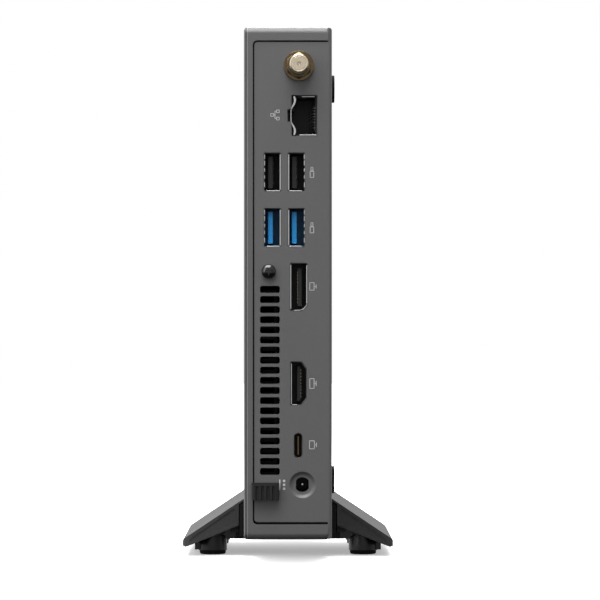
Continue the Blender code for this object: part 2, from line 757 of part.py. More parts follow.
def video_sockets():
    upper = (
        grown(about(VIDEO_UPPER_X, VIDEO_UPPER_WIDE), 0.5),
        grown(about(VIDEO_UPPER_Z, VIDEO_UPPER_TALL), 0.5),
    )
    socket("video_upper", upper, [video_upper_outline(-0.3)], 11.0, 1.5, VIDEO_UPPER_TALL - 3.6,
           [(VIDEO_UPPER_X + 0.1, VIDEO_UPPER_Z)], black_plastic())
    lower = (
        grown(about(VIDEO_LOWER_X, VIDEO_LOWER_WIDE), 0.5),
        grown(about(VIDEO_LOWER_Z, VIDEO_LOWER_TALL), 0.5),
    )
    socket("video_lower", lower, [video_lower_outline(-0.3)], 10.0, 1.3, VIDEO_LOWER_TALL - 3.4,
           [(VIDEO_LOWER_X + 0.3, VIDEO_LOWER_Z)], black_plastic())
    usbc = (grown(about(USBC_X, USBC_WIDE), 0.5), grown(about(USBC_Z, USBC_TALL), 0.5))
    bore = rectangle(
        about(USBC_X, USBC_WIDE - 0.5), about(USBC_Z, USBC_TALL - 0.5), (1.25,) * 4)
    socket("usb_c", usbc, [bore], 7.0, 0.7, USBC_TALL - 2.4, [(USBC_X, USBC_Z)], gold(), 0.6)


def power_inlet():
    """Round low-voltage inlet let into the board: body with a blind bore, and a centre pin."""
    body = block(
        "power_inlet", about(INLET_X, INLET_BODY),
        (SOCKET_FACE - INLET_BODY_DEPTH, SOCKET_FACE - DISH_DEPTH - 0.6),
        about(INLET_Z, INLET_BODY), black_plastic(), bevel=0.6, segments=1, pick=along(1))
    combine(body, rod(
        "inlet_bore", (INLET_X, SOCKET_FACE, INLET_Z), INLET_BORE - 0.15, 22, "+Y"))
    pin = [
        (0, 0), (0.35, -0.15), (0.5, -0.6), (0.5, -9.6), (0, -9.6),
    ]
    turned("inlet_pin", pin, (INLET_X, SOCKET_FACE - 1.2, INLET_Z), "+Y", bright_steel(), steps=12)


# Inside

def motherboard():
    """Board on four standoffs, with gaps for the let-in sockets and the antenna jack."""
    y, z = (BOARD_START, BOARD_END), (BOARD_INSET, HEIGHT - BOARD_INSET)
    board = block("motherboard", (BOARD_UNDER_X, BOARD_TOP_X), y, z, board_green())
    let_in = grown((BOARD_UNDER_X, BOARD_TOP_X), 2)
    combine(board, block(
        "board_network_gap", let_in, (SOCKET_FACE - LAN_BODY_DEPTH - GAP, REAR),
        grown(about(LAN_Z, LAN_TALL), 1.1 + GAP)))
    combine(board, block(
        "board_inlet_gap", let_in, (SOCKET_FACE - INLET_BODY_DEPTH - GAP, REAR),
        about(INLET_Z, INLET_BODY + 2 * GAP)))
    combine(board, block(
        "board_jack_gap", let_in, (PANEL_OUT - 12.0, REAR), about(JACK_Z, 14.0)))
    foot = (PLATE_IN + GAP, BOARD_UNDER_X - GAP)
    inset = 9.0
    spots = [(py, pz) for py in (y[0] + inset, y[1] - 30.0) for pz in (z[0] + inset, z[1] - inset)]
    for number, (py, pz) in enumerate(spots, 1):
        rod(f"board_standoff_{number}", (sum(foot) / 2, py, pz), STANDOFF_RADIUS,
            foot[1] - foot[0], "+X", bright_steel(), sides=6)


def on_board(name, thick, y, z, look, lift=GAP):
    low = BOARD_TOP_X + lift
    return block(name, (low, low + thick), y, z, look)


def board_parts():
    """Processor and cold plate, memory in its socket, drive, wireless card and coin cell."""
    on_board("processor", PROCESSOR_THICK, about(FAN_Y, PROCESSOR), about(FAN_Z, PROCESSOR),
             aluminium())
    processor_top = BOARD_TOP_X + GAP + PROCESSOR_THICK
    block("cold_plate", (processor_top + GAP, cold_top()), about(FAN_Y, COLD_PLATE),
          about(FAN_Z, COLD_PLATE), copper(), bevel=0.8, segments=1)

    memory_y = (BOARD_START + 8, BOARD_START + 8 + MEMORY_LENGTH)
    socket_y = (memory_y[1] + GAP, memory_y[1] + GAP + 5.0)
    on_board("memory_socket", 6.4, socket_y, grown(MEMORY_Z, -0.4), black_plastic())
    for name, lift in (("memory_lower", 1.1), ("memory_upper", 4.6)):
        module = on_board(name, 1.0, memory_y, MEMORY_Z, board_green(), lift)
        top = BOARD_TOP_X + lift + 1.0
        for i in range(4):
            chip_z = MEMORY_Z[0] + (i + 0.5) * (MEMORY_Z[1] - MEMORY_Z[0]) / 4
            combine(module, block(
                f"{name}_chip_{i + 1}", (top - TINY, top + 1.1),
                (memory_y[0] + 8, memory_y[0] + 20), about(chip_z, 11.0)), "UNION")

    card_top = BOARD_TOP_X + CARD_LIFT + CARD_THICK
    drive = on_board(
        "solid_state_drive", CARD_THICK, DRIVE_Y, DRIVE_Z, board_green(), CARD_LIFT)
    for i, chip_z in enumerate(DRIVE_CHIPS, 1):
        combine(drive, block(
            f"drive_chip_{i}", (card_top - TINY, card_top + 1.2), grown(DRIVE_Y, -3), chip_z),
            "UNION")
    card_y = (SOCKET_FACE - CARD_TO_PANEL - CARD_LENGTH, SOCKET_FACE - CARD_TO_PANEL)
    card = on_board("wireless_card", CARD_THICK, card_y, CARD_Z, board_green(), CARD_LIFT)
    combine(card, block(
        "card_can", (card_top - TINY, card_top + 1.5), (card_y[0] + 3, card_y[1] - 11),
        grown(CARD_Z, -2.5)), "UNION")
    rod("coin_cell", (BOARD_TOP_X + GAP + 1.6, CELL_Y, CELL_Z), 10.0, 3.2, "+X", bright_steel())


def cold_top():
    return BLOWER_LOW_X - 2 * PIPE_RADIUS - 2 * GAP


def heat_pipe():
    """Copper pipe from the cold plate, under the blower, and along below the fins."""
    x = cold_top() + GAP + PIPE_RADIUS
    fins_y = FINS_END - FIN_DEPTH / 2
    turn = 9.0
    route = [(x, FAN_Y - 14, FAN_Z - 6), (x, fins_y - turn, FAN_Z - 6)]
    for step in range(1, 7):
        angle = math.pi / 2 * step / 6
        route.append((
            x, fins_y - turn + turn * math.sin(angle), FAN_Z - 6 + turn * (1 - math.cos(angle))))
    route.append((x, fins_y, FAN_Z + 28))
    tube("heat_pipe", route, PIPE_RADIUS, 3, copper())


def tube(name, route, radius, resolution, look):
    curve = bpy.data.curves.new(name + "_path", "CURVE")
    curve.dimensions = "3D"
    curve.bevel_depth = radius * MM
    curve.bevel_resolution = resolution
    curve.use_fill_caps = True
    spline = curve.splines.new("POLY")
    spline.points.add(len(route) - 1)
    for point, place in zip(spline.points, route):
        point.co = (*[value * MM for value in place], 1)
    obj = bpy.data.objects.new(name + "_path", curve)
    bpy.data.collections[CUTTERS].objects.link(obj)
    return curve_to_mesh(obj, name, look, "chassis")


def antenna_lead():
    """Thin coaxial lead from the antenna jack to the wireless card."""
    start = (JACK_X, PANEL_OUT - PANEL - 6.3 - GAP, JACK_Z)
    end = (BOARD_TOP_X + 5.2, SOCKET_FACE - CARD_TO_PANEL - 4.0, 154.0)
    bend = ((start[0] + 1.0, start[1] - 9.0, start[2] + 1.5), (end[0] + 4.0, end[1] + 2.0, end[2] + 6.0))
    route = []
    for step in range(17):
        t = step / 16
        weights = ((1 - t) ** 3, 3 * t * (1 - t) ** 2, 3 * t * t * (1 - t), t ** 3)
        route.append([
            sum(w * p[axis] for w, p in zip(weights, (start, *bend, end))) for axis in range(3)])
    tube("antenna_lead", route, 0.6, 2, black_plastic())


def fin_stack():
    """Aluminium fins between the blower's outlet and the rear vents."""
    x = (BLOWER_LOW_X + GAP, OPEN_X - GAP)
    y = (FINS_END - FIN_DEPTH, FINS_END)
    z = blower_span()
    stack = block("fin_stack", x, y, z, aluminium())
    pitch = (z[1] - z[0]) / (FINS - 1 + FIN_SHARE)
    fin = pitch * FIN_SHARE
    air = block(
        "fin_gap", (x[0] + FIN_BASE, x[1] + 2), grown(y, 2), (z[0] + fin, z[0] + pitch))
    combine(stack, repeat(air, FINS - 1, pitch))


def blower_span():
    reach = FAN_RADIUS + FAN_CLEAR + BLOWER_WALL + 5.0
    return (FAN_Z - reach, FAN_Z + reach)


def blower():
    """Scroll casing that blows towards the rear, with an inlet on the cover side."""
    x = (BLOWER_LOW_X, BLOWER_LOW_X + BLOWER_THICK)
    z = blower_span()
    outlet = FINS_END - FIN_DEPTH - GAP
    radius = (z[1] - z[0]) / 2

    def scroll(by, end):
        reach = radius - by
        arc = [(FAN_Y - reach * math.sin(a), FAN_Z + reach * math.cos(a))
               for a in (math.pi * i / 16 for i in range(17))]
        return [(end, FAN_Z + reach), *arc, (end, FAN_Z - reach)]

    casing = extruded(
        "blower_housing", scroll(0, outlet), (sum(x) / 2, 0, 0), BLOWER_THICK, "X",
        black_plastic())
    combine(casing, extruded(
        "blower_hollow", scroll(BLOWER_WALL, outlet + 4), (sum(x) / 2, 0, 0),
        BLOWER_THICK - 2 * BLOWER_WALL, "X"))
    combine(casing, rod(
        "blower_inlet", (x[1], FAN_Y, FAN_Z), FAN_RADIUS * 0.72, 4 * BLOWER_WALL, "+X", sides=32))
    combine(casing, rod(
        "blower_shaft_hole", (x[0], FAN_Y, FAN_Z), FAN_SHAFT - 0.5, 6 * BLOWER_WALL, "+X",
        sides=12))


def fan_rotor():
    """Bladed wheel that turns on the shaft, about X."""
    inside = (BLOWER_LOW_X + BLOWER_WALL + 0.6, BLOWER_LOW_X + BLOWER_THICK - BLOWER_WALL - 0.6)
    width = inside[1] - inside[0]
    centre = (sum(inside) / 2, FAN_Y, FAN_Z)
    rotor = rod("fan_rotor", centre, FAN_HUB, width, "+X", dark_plastic())
    for i in range(FAN_BLADES):
        blade = block(
            f"blade_{i + 1}", about(0, width - 1.0), about(0, FAN_RADIUS - FAN_HUB + 1.0),
            about(0, 0.9))
        angle = 2 * math.pi * i / FAN_BLADES
        reach = (FAN_RADIUS + FAN_HUB - 1.0) / 2
        blade.location = [value * MM for value in (
            centre[0], FAN_Y + reach * math.cos(angle), FAN_Z + reach * math.sin(angle))]
        blade.rotation_euler = (angle, 0, 0)
        combine(rotor, blade, "UNION")
    combine(rotor, rod(
        "rotor_bore", centre, FAN_SHAFT + SHAFT_CLEAR, 2 * width, "+X"))
    length = inside[1] - 0.6 - (BLOWER_LOW_X + BLOWER_WALL + GAP)
    middle = BLOWER_LOW_X + BLOWER_WALL + GAP + length / 2
    rod("fan_shaft", (middle, FAN_Y, FAN_Z), FAN_SHAFT, length, "+X", bright_steel())


def front_sockets():
    """Front sockets stand on the board's front edge, facing -Y."""
    face = FRONT + BEZEL_WALL + GAP
    usb_x = (USB_INNER_X - USB_WIDE / 2 - 0.3, USB_INNER_X + USB_WIDE / 2 + 0.3)
    usb_z = grown(about(FRONT_USB_Z, USB_TALL), 0.3)
    shell = block("front_usb_shell", usb_x, (face, face + 13.0), usb_z, bright_steel())
    combine(shell, block(
        "front_usb_bore", grown(usb_x, -0.6), about(face + 6.0, 30.0), grown(usb_z, -0.65)))
    back = (face + 13.0 + GAP, face + 16.0)
    insert = block("front_usb_insert", usb_x, back, usb_z, blue_plastic())
    combine(insert, block(
        "front_usb_tongue", about(USB_INNER_X + USB_TONGUE_SHIFT, USB_TONGUE),
        (face + 0.9, back[0] + TINY), about(FRONT_USB_Z, USB_TALL - 2.0)), "UNION")
    c_x = grown(about(USBC_X, USBC_WIDE), 0.5)
    c_z = grown(about(FRONT_USBC_Z, USBC_TALL), 0.5)
    c_shell = block("front_usb_c_shell", c_x, (face, face + 7.0), c_z, bright_steel())
    bore = rectangle(
        about(USBC_X, USBC_WIDE - 0.5), about(FRONT_USBC_Z, USBC_TALL - 0.5), (1.25,) * 4)
    combine(c_shell, extruded("front_usb_c_bore", bore, (0, face, 0), 20.0, "Y"))
    c_back = (face + 7.0 + GAP, face + 10.0)
    c_insert = block("front_usb_c_insert", c_x, c_back, c_z, gold())
    combine(c_insert, block(
        "front_usb_c_tongue", about(USBC_X, 0.7), (face + 0.6, c_back[0] + TINY),
        about(FRONT_USBC_Z, USBC_TALL - 2.4)), "UNION")
    audio = block(
        "audio_jack", about(AUDIO_X, 6.4), (face, face + 12.0), about(AUDIO_Z, 6.4),
        black_plastic(), bevel=0.5, segments=1, pick=along(1))
    combine(audio, rod("audio_bore", (AUDIO_X, face, AUDIO_Z), 1.8, 20.0, "+Y"))


# Stand

def wing_outline(side):
    """Wing section in x and z: sloping top with a lip over the liner, and a blunt tip."""
    lip = HALF + GAP
    lip_top = CRADLE_TOP + WING_SLOPE * (CRADLE_X - lip)
    points = [
        (lip, lip_top), (lip, lip_top - WING_LIP), (CRADLE_X, CRADLE_TOP - WING_LIP),
        (CRADLE_X, WING_UNDER), (STAND_HALF - 1.2, WING_TIP_BOTTOM),
        (STAND_HALF, WING_TIP_BOTTOM + 0.3), (STAND_HALF, WING_TIP_TOP),
    ]
    return [(side * x, z) for x, z in points]


def pocket_outline(side):
    """Hollow under a wing, inside its skin and open below."""
    inner = CRADLE_X + WING_RIB
    drop = WING_SKIN * math.hypot(1, WING_SLOPE)
    top = CRADLE_TOP - WING_SLOPE * WING_RIB - drop
    outer = STAND_HALF - WING_SKIN
    low = WING_TIP_TOP + WING_SLOPE * WING_SKIN - drop
    return [(side * inner, -1), (side * outer, -1), (side * outer, low), (side * inner, top)]


def bridge_outline():
    """Bridge under the chassis with an upstand into each wing's rib."""
    low, top, rise = BRIDGE_LOW, LINER_BOTTOM - GAP, RIB_BOTTOM + 1
    near, far = CRADLE_X + 2 * TINY, CRADLE_X + WING_RIB - 2 * TINY
    return [
        (-far, low), (far, low), (far, rise), (near, rise), (near, top), (-near, top),
        (-near, rise), (-far, rise),
    ]


def stand_base():
    """Moulded stand: two hollow wings with foot bosses, joined by a bridge under the chassis."""
    depth = STAND_DEPTH
    base = extruded(
        "stand_base", bridge_outline(), (0, 0, 0), BRIDGE_DEPTH, "Y", dark_plastic(), "stand")
    plan = extruded(
        "stand_plan",
        rectangle(about(0, 2 * STAND_HALF), about(0, depth), (WING_CORNER,) * 4),
        (0, 0, CRADLE_TOP), 4 * CRADLE_TOP, "Z", None, "stand")
    boss_y = depth / 2 - BOSS_INSET
    ends = (("rear", boss_y), ("front", -boss_y))
    for side, hand in ((1, "left"), (-1, "right")):
        wing = extruded(
            f"wing_{hand}", wing_outline(side), (0, 0, 0), depth + 2, "Y", None, "stand")
        combine(wing, plan, "INTERSECT")
        pocket = extruded(
            f"pocket_{hand}", pocket_outline(side), (0, 0, 0), depth - 2 * WING_SKIN, "Y",
            None, "stand")
        for end, y in ends:
            combine(pocket, rod(
                f"post_{hand}_{end}", (side * BOSS_X, y, CRADLE_TOP / 2), BOSS_RADIUS - TINY,
                2 * CRADLE_TOP, "+Z", None, "stand"))
        combine(wing, pocket)
        combine(base, wing, "UNION")
        rib = sorted((side * (CRADLE_X + TINY), side * (CRADLE_X + WING_RIB - TINY)))
        combine(base, block(
            f"rib_{hand}", rib, about(0, depth - 8.0), (RIB_BOTTOM, CRADLE_TOP - 4.0), None,
            "stand"), "UNION")
        for end, y in ends:
            combine(base, rod(
                f"boss_{hand}_{end}", (side * BOSS_X, y, (BOSS_BOTTOM + BOSS_TOP) / 2),
                BOSS_RADIUS, BOSS_TOP - BOSS_BOTTOM, "+Z", None, "stand"), "UNION")
            seat = PAD_HEIGHT + GAP
            combine(base, rod(
                f"seat_{hand}_{end}", (side * BOSS_X, y, seat / 2 - 1),
                PAD_RADIUS + GAP, seat + 2, "+Z", None, "stand"))


def stand_liner():
    """Soft channel that grips the lower edge of the chassis."""
    inner, outer = HALF + GAP, HALF + GAP + LINER
    liner = block(
        "stand_liner", (-outer, outer), about(0, STAND_DEPTH),
        (LINER_BOTTOM, CRADLE_TOP - WING_LIP - GAP), rubber(), "stand")
    combine(liner, block(
        "liner_channel", (-inner, inner), about(0, 2 * STAND_DEPTH),
        (CHASSIS_LIFT - GAP, 2 * CRADLE_TOP), None, "stand"))


def stand_feet():
    boss_y = STAND_DEPTH / 2 - BOSS_INSET
    profile = [
        (0, PAD_HEIGHT), (PAD_RADIUS, PAD_HEIGHT), (PAD_RADIUS, 0.3), (PAD_RADIUS - 0.3, 0), (0, 0),
    ]
    places = [(x, y) for y in (boss_y, -boss_y) for x in (BOSS_X, -BOSS_X)]
    for number, (x, y) in enumerate(places, 1):
        turned(f"stand_foot_{number}", profile, (x, y, 0), "+Z", rubber(), "stand")


def main():
    clear_scene()
    frames()
    cover_shell()
    base_tray()
    front_bezel()
    intake_filter()
    power_button()
    status_light()
    case_feet()
    cover_screw()
    cover_latch()
    antenna_jack()
    network_jack()
    usb_stacks()
    video_sockets()
    power_inlet()
    motherboard()
    board_parts()
    heat_pipe()
    antenna_lead()
    fin_stack()
    blower()
    fan_rotor()
    front_sockets()
    stand_base()
    stand_liner()
    stand_feet()


main()
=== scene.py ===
"""Looks of a one-litre mini PC in its vertical stand, built round its packed CAD frame.

Laid out as an add-on and run as a script: each operator builds one piece or one group of like pieces.
Lengths in the code are millimetres in the chassis's own axes unless a name says otherwise: x across the
thickness (the cover's side is +x), y from front to rear, z up from the chassis's lower edge.
"""

import math

import bmesh
import bpy
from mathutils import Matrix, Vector


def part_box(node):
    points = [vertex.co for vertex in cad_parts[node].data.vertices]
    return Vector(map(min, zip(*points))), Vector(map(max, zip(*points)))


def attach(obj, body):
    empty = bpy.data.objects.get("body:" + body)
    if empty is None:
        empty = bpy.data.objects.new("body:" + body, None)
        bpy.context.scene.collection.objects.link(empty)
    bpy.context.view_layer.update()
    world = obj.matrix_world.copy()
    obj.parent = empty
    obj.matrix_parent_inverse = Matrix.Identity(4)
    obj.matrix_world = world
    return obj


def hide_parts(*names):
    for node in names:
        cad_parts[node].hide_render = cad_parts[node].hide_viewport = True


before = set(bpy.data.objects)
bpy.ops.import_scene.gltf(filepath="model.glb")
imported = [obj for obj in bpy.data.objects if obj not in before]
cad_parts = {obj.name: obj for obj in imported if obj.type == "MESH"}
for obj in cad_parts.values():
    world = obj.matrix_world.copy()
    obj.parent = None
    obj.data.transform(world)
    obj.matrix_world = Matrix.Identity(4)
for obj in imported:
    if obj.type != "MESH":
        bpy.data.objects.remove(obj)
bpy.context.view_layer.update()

bl_info = {
    "name": "Vertical Mini PC Looks",
    "version": (1, 0, 0),
    "blender": (4, 5, 0),
    "location": "3D View > Sidebar > Mini PC",
    "description": "Detailed surfaces, finishes and studio for a mini PC in a vertical stand",
    "category": "Object",
}

MM = 0.001
FINE = 1e-7

BEZEL_LOW, BEZEL_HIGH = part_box("front_bezel")
COVER_LOW, COVER_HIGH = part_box("cover_shell")
TRAY_LOW, TRAY_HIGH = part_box("base_tray")
LINER_LOW, LINER_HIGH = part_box("stand_liner")
BASE_LOW, BASE_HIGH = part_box("stand_base")

CHASSIS = Vector((0.0, (BEZEL_LOW.y + COVER_HIGH.y) / 2, TRAY_LOW.z))
STAND = Vector((0.0, (BASE_LOW.y + BASE_HIGH.y) / 2, 0.0))

HALF = COVER_HIGH.x / MM
HEIGHT = (TRAY_HIGH.z - TRAY_LOW.z) / MM
REAR = (COVER_HIGH.y - CHASSIS.y) / MM
PANEL_OUT = (TRAY_HIGH.y - CHASSIS.y) / MM
FRONT = (BEZEL_LOW.y - CHASSIS.y) / MM
COVER_FRONT = (COVER_LOW.y - CHASSIS.y) / MM

PLATE = 1.1
COVER_END = -HALF + PLATE + 0.15
PANEL = 1.0
PANEL_IN = PANEL_OUT - PANEL
SOCKET_FACE = PANEL_IN - 0.3
WALL = 1.2
FRAME_SIDE = 3.1
FRAME_TOP = 4.7
FRAME_BOTTOM = 5.3
FRAME_DEPTH = 7.0
FRAME_CORNER = 1.6
GAP = 0.3
SEAM = 0.52
LOWER_SEAM = 1.6


def span_of(node, axis, origin=CHASSIS):
    """A node's span along one axis, in millimetres from the origin."""
    low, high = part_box(node)
    return ((low[axis] - origin[axis]) / MM, (high[axis] - origin[axis]) / MM)


def middle(span):
    return (span[0] + span[1]) / 2


def box_of(node):
    """A node's spans along x, y and z."""
    return [span_of(node, axis) for axis in range(3)]


def face_centre(node):
    """The middle of a node across and up."""
    return middle(span_of(node, 0)), middle(span_of(node, 2))


def grown(span, by):
    return (span[0] - by, span[1] + by)


def about(centre, size):
    return (centre - size / 2, centre + size / 2)


# Sizes and colours that a user would change

def colour(name, default, text):
    return bpy.props.FloatVectorProperty(
        name=name, description=text, subtype="COLOR", size=3, min=0.0, max=1.0, default=default)


def number(name, default, text, low=0.0, high=100.0):
    return bpy.props.FloatProperty(name=name, description=text, default=default, min=low, max=high)


def length(name, default, text):
    return bpy.props.FloatProperty(
        name=name, description=text, default=default, min=0.0, unit="LENGTH", subtype="DISTANCE")


class MiniPcCasing(bpy.types.PropertyGroup):
    paint: colour("Paint", (0.088, 0.088, 0.0885), "Colour of the powder coat on cover and tray")
    paint_roughness: number("Paint roughness", 0.42, "Roughness of the powder coat", 0.0, 1.0)
    grain: length("Paint grain", 0.00032, "Size of the powder coat's grains")
    rim_rise: length("Rim rounding, upright", 0.0023, "How far the rear rim rounds in at top and bottom")
    rim_side: length("Rim rounding, sideways", 0.0012, "How far the rear rim rounds in at the side")
    ink: colour("Marks", (0.52, 0.52, 0.52), "Colour of the printed socket marks")


class MiniPcPlastics(bpy.types.PropertyGroup):
    bezel: colour("Bezel", (0.028, 0.028, 0.030), "Colour of the front bezel")
    stand: colour("Stand", (0.040, 0.040, 0.042), "Colour of the stand")
    liner: colour("Liner", (0.010, 0.010, 0.010), "Colour of the stand's liner")
    rubber: colour("Feet", (0.009, 0.009, 0.009), "Colour of the rubber feet")
    black: colour("Black parts", (0.013, 0.013, 0.014), "Colour of latch and socket mouldings")
    blue: colour("Blue parts", (0.004, 0.19, 0.47), "Colour of the fast sockets' tongues")
    grain: length("Mould grain", 0.00045, "Size of the moulded texture")


class MiniPcMetals(bpy.types.PropertyGroup):
    tin: colour("Tinned steel", (0.80, 0.80, 0.81), "Colour of rims, springs and pins")
    # Nickel: the sockets' plated shells darkened as painted shade for the inside of their openings; their
    # rims keep the bright tin.
    nickel: colour("Dull nickel", (0.16, 0.16, 0.17), "Colour of the shells inside the openings")
    gold: colour("Gold", (0.84, 0.73, 0.56), "Colour of the antenna jack")
    brass: colour("Brass", (0.17, 0.125, 0.07), "Colour of the antenna's nut and washer")
    copper: colour("Copper", (0.72, 0.36, 0.22), "Colour of cold plate and heat pipe")
    # Fins: near-black as painted shade, keeping what shows through the vents dark like the shade inside
    # the casing.
    fins_painted_shade: colour("Fins", (0.012, 0.012, 0.013), "Colour of the dark coated fins")
    board: colour("Circuit board", (0.008, 0.045, 0.024), "Colour of the boards' solder mask")


class MiniPcStudio(bpy.types.PropertyGroup):
    distance: length("Camera distance", 1.0, "From the rear panel to the camera")
    eye: length("Eye height", 0.0786, "Height of the camera above the floor")
    lens: number("Lens", 174.0, "Focal length in millimetres on a 36 mm sensor", 10.0, 400.0)
    shift_up: number("Shift up", 0.0650, "Vertical camera shift", -1.0, 1.0)
    shift_side: number("Shift sideways", 0.0202, "Horizontal camera shift", -1.0, 1.0)
    overhead: number("Overhead light", 20.0, "Power of the overhead softbox in watts", 0.0, 500.0)
    back: number("Rim light", 14.0, "Power of the high softbox behind", 0.0, 500.0)
    side: number("Side light", 3.0, "Power of the side softbox in watts", 0.0, 500.0)
    under: number("Room, below", 0.08, "Brightness of the room from below", 0.0, 10.0)
    shaded: number("Room, tray side", 0.62, "Brightness of the room on the tray's side", 0.0, 10.0)
    room: number("Room", 1.0, "Brightness of the white room behind the object", 0.0, 10.0)
    front: number("Room, front", 0.62, "Brightness of the room on the camera's side", 0.0, 10.0)
    floor: colour("Floor", (0.9, 0.9, 0.9), "Colour of the plain floor")


GROUPS = {
    "mini_pc_casing": MiniPcCasing,
    "mini_pc_plastics": MiniPcPlastics,
    "mini_pc_metals": MiniPcMetals,
    "mini_pc_studio": MiniPcStudio,
}


# Shader maths

class Value:
    """A shader socket that takes part in Python arithmetic by adding Math nodes."""

    def __init__(self, graph, socket):
        self.graph = graph
        self.socket = socket

    def __add__(self, other):
        return self.graph.maths("ADD", self, other)

    def __sub__(self, other):
        return self.graph.maths("SUBTRACT", self, other)

    def __rsub__(self, other):
        return self.graph.maths("SUBTRACT", other, self)

    def __mul__(self, other):
        return self.graph.maths("MULTIPLY", self, other)

    def __truediv__(self, other):
        return self.graph.maths("DIVIDE", self, other)

    def __pow__(self, other):
        return self.graph.maths("POWER", self, other)

    def __gt__(self, other):
        return self.graph.maths("GREATER_THAN", self, other)

    __radd__ = __add__
    __rmul__ = __mul__


class Nodes:
    """A node tree, with the one method that adds nodes to it."""

    def __init__(self, tree):
        self.tree = tree

    def node(self, kind, settings=None, inputs=None):
        """Adds a node; settings are set first, then its sockets get values or links."""
        node = self.tree.nodes.new(kind)
        for key, value in (settings or {}).items():
            if key == "stops":
                for stop, (place, tone) in zip(node.color_ramp.elements, value):
                    stop.position = place
                    stop.color = (tone, tone, tone, 1.0)
            else:
                setattr(node, key, value)
        for key, value in (inputs or {}).items():
            self.feed(node.inputs[key], value)
        return node

    def feed(self, socket, value):
        if isinstance(value, Value):
            self.tree.links.new(value.socket, socket)
        else:
            socket.default_value = value

    def maths(self, operation, first, second=0.0):
        node = self.node("ShaderNodeMath", {"operation": operation}, {0: first, 1: second})
        return Value(self, node.outputs[0])

    def axis(self, place, name):
        node = self.node("ShaderNodeSeparateXYZ", None, {0: place})
        return Value(self, node.outputs[name])


class Graph(Nodes):
    """One material's nodes round its Principled shader."""

    def __init__(self, name, base, roughness, metallic=0.0, **constants):
        self.material = bpy.data.materials.new(name)
        self.material.use_nodes = True
        super().__init__(self.material.node_tree)
        self.shader = self.tree.nodes["Principled BSDF"]
        self.shader.inputs["Base Color"].default_value = (*base, 1.0)
        self.shader.inputs["Roughness"].default_value = roughness
        self.shader.inputs["Metallic"].default_value = metallic
        for socket, value in constants.items():
            self.shader.inputs[socket.replace("_", " ")].default_value = value
        self.material.diffuse_color = (*base, 1.0)

    def place(self):
        return Value(self, self.node("ShaderNodeTexCoord").outputs["Object"])

    def stretched(self, place, by):
        node = self.node(
            "ShaderNodeVectorMath", {"operation": "MULTIPLY"}, {0: place, 1: by})
        return Value(self, node.outputs[0])

    def noise(self, place, size, detail=2.0, roughness=0.5):
        node = self.node("ShaderNodeTexNoise", None, {
            "Vector": place, "Scale": 1.0 / size, "Detail": detail, "Roughness": roughness})
        return Value(self, node.outputs["Fac"])

    def cells(self, place, size):
        node = self.node(
            "ShaderNodeTexVoronoi", {"feature": "F1"}, {"Vector": place, "Scale": 1.0 / size})
        return Value(self, node.outputs["Distance"])

    def ramp(self, value, low, high):
        node = self.node(
            "ShaderNodeValToRGB", {"stops": ((low, 0.0), (high, 1.0))}, {"Fac": value})
        return Value(self, node.outputs["Color"])

    def mix(self, factor, first, second):
        node = self.node("ShaderNodeMix", {"data_type": "RGBA"}, {
            0: factor, 6: first, 7: second})
        return Value(self, node.outputs[2])

    def set(self, socket, value):
        self.feed(self.shader.inputs[socket], value)

    def bump(self, height, distance, strength=1.0):
        node = self.node("ShaderNodeBump", None, {
            "Height": height, "Distance": distance, "Strength": strength})
        self.tree.links.new(node.outputs["Normal"], self.shader.inputs["Normal"])


def shade(base, by):
    return (*(min(1.0, channel * by) for channel in base), 1.0)


FINISHES = {}


def finish(name, make):
    """Each finish is made once and shared by every piece that has it."""
    if name not in FINISHES:
        FINISHES[name] = make(name).material
    return FINISHES[name]


def settings(group):
    return getattr(bpy.context.scene, group)


def powder_coat(name, base, roughness, size):
    """Baked paint: fine grains, a faint cloudiness and a few settled specks."""
    graph = Graph(name, base, roughness)
    place = graph.place()
    grains = graph.noise(place, size, 3.0, 0.6)
    cloud = graph.noise(place, 0.03, 3.0)
    specks = graph.ramp(graph.noise(place, size * 2.6, 1.0), 0.66, 0.74)
    tone = graph.mix(cloud, shade(base, 0.93), shade(base, 1.07))
    tone = graph.mix(graph.ramp(grains, 0.35, 0.7), tone, shade(base, 1.14))
    graph.set("Base Color", graph.mix(specks * 0.35, tone, shade(base, 1.35)))
    graph.set("Roughness", roughness - 0.06 + grains * 0.12 + (cloud - 0.5) * 0.06)
    graph.bump(grains + specks * 0.3, 0.00002, 0.55)
    return graph


def moulding(name, base, roughness, size, depth=0.000025, sheen=0.5):
    """Spark-textured moulded plastic with slight sheen changes."""
    graph = Graph(name, base, roughness, Specular_IOR_Level=sheen)
    place = graph.place()
    pits = graph.cells(place, size)
    cloud = graph.noise(place, 0.02, 4.0)
    graph.set("Base Color", graph.mix(
        graph.ramp(pits, 0.1, 0.8), shade(base, 0.82), shade(base, 1.2)))
    graph.set("Roughness", roughness - 0.05 + cloud * 0.1)
    graph.bump(pits + graph.noise(place, size * 0.6), depth, 0.5)
    return graph


def soft_rubber(name, base):
    graph = Graph(name, base, 0.85, Specular_IOR_Level=0.08)
    place = graph.place()
    dust = graph.ramp(graph.noise(place, 0.0016, 5.0, 0.7), 0.55, 0.8)
    graph.set("Base Color", graph.mix(dust * 0.5, shade(base, 1.0), shade(base, 2.4)))
    graph.set("Roughness", 0.7 + dust * 0.15)
    graph.bump(graph.noise(place, 0.0003, 3.0), 0.00002, 0.4)
    return graph


def tinned_steel(name, base, roughness=0.3):
    """Plated sheet steel with fine drawn lines and dull patches."""
    graph = Graph(name, base, roughness, 1.0)
    place = graph.place()
    lines = graph.noise(graph.stretched(place, (1.0, 0.06, 1.0)), 0.00025, 3.0)
    patches = graph.noise(place, 0.002, 3.0)
    graph.set("Base Color", graph.mix(patches, shade(base, 0.78), shade(base, 1.08)))
    graph.set("Roughness", roughness - 0.08 + lines * 0.12 + patches * 0.08)
    graph.bump(lines, 0.000008, 0.35)
    return graph


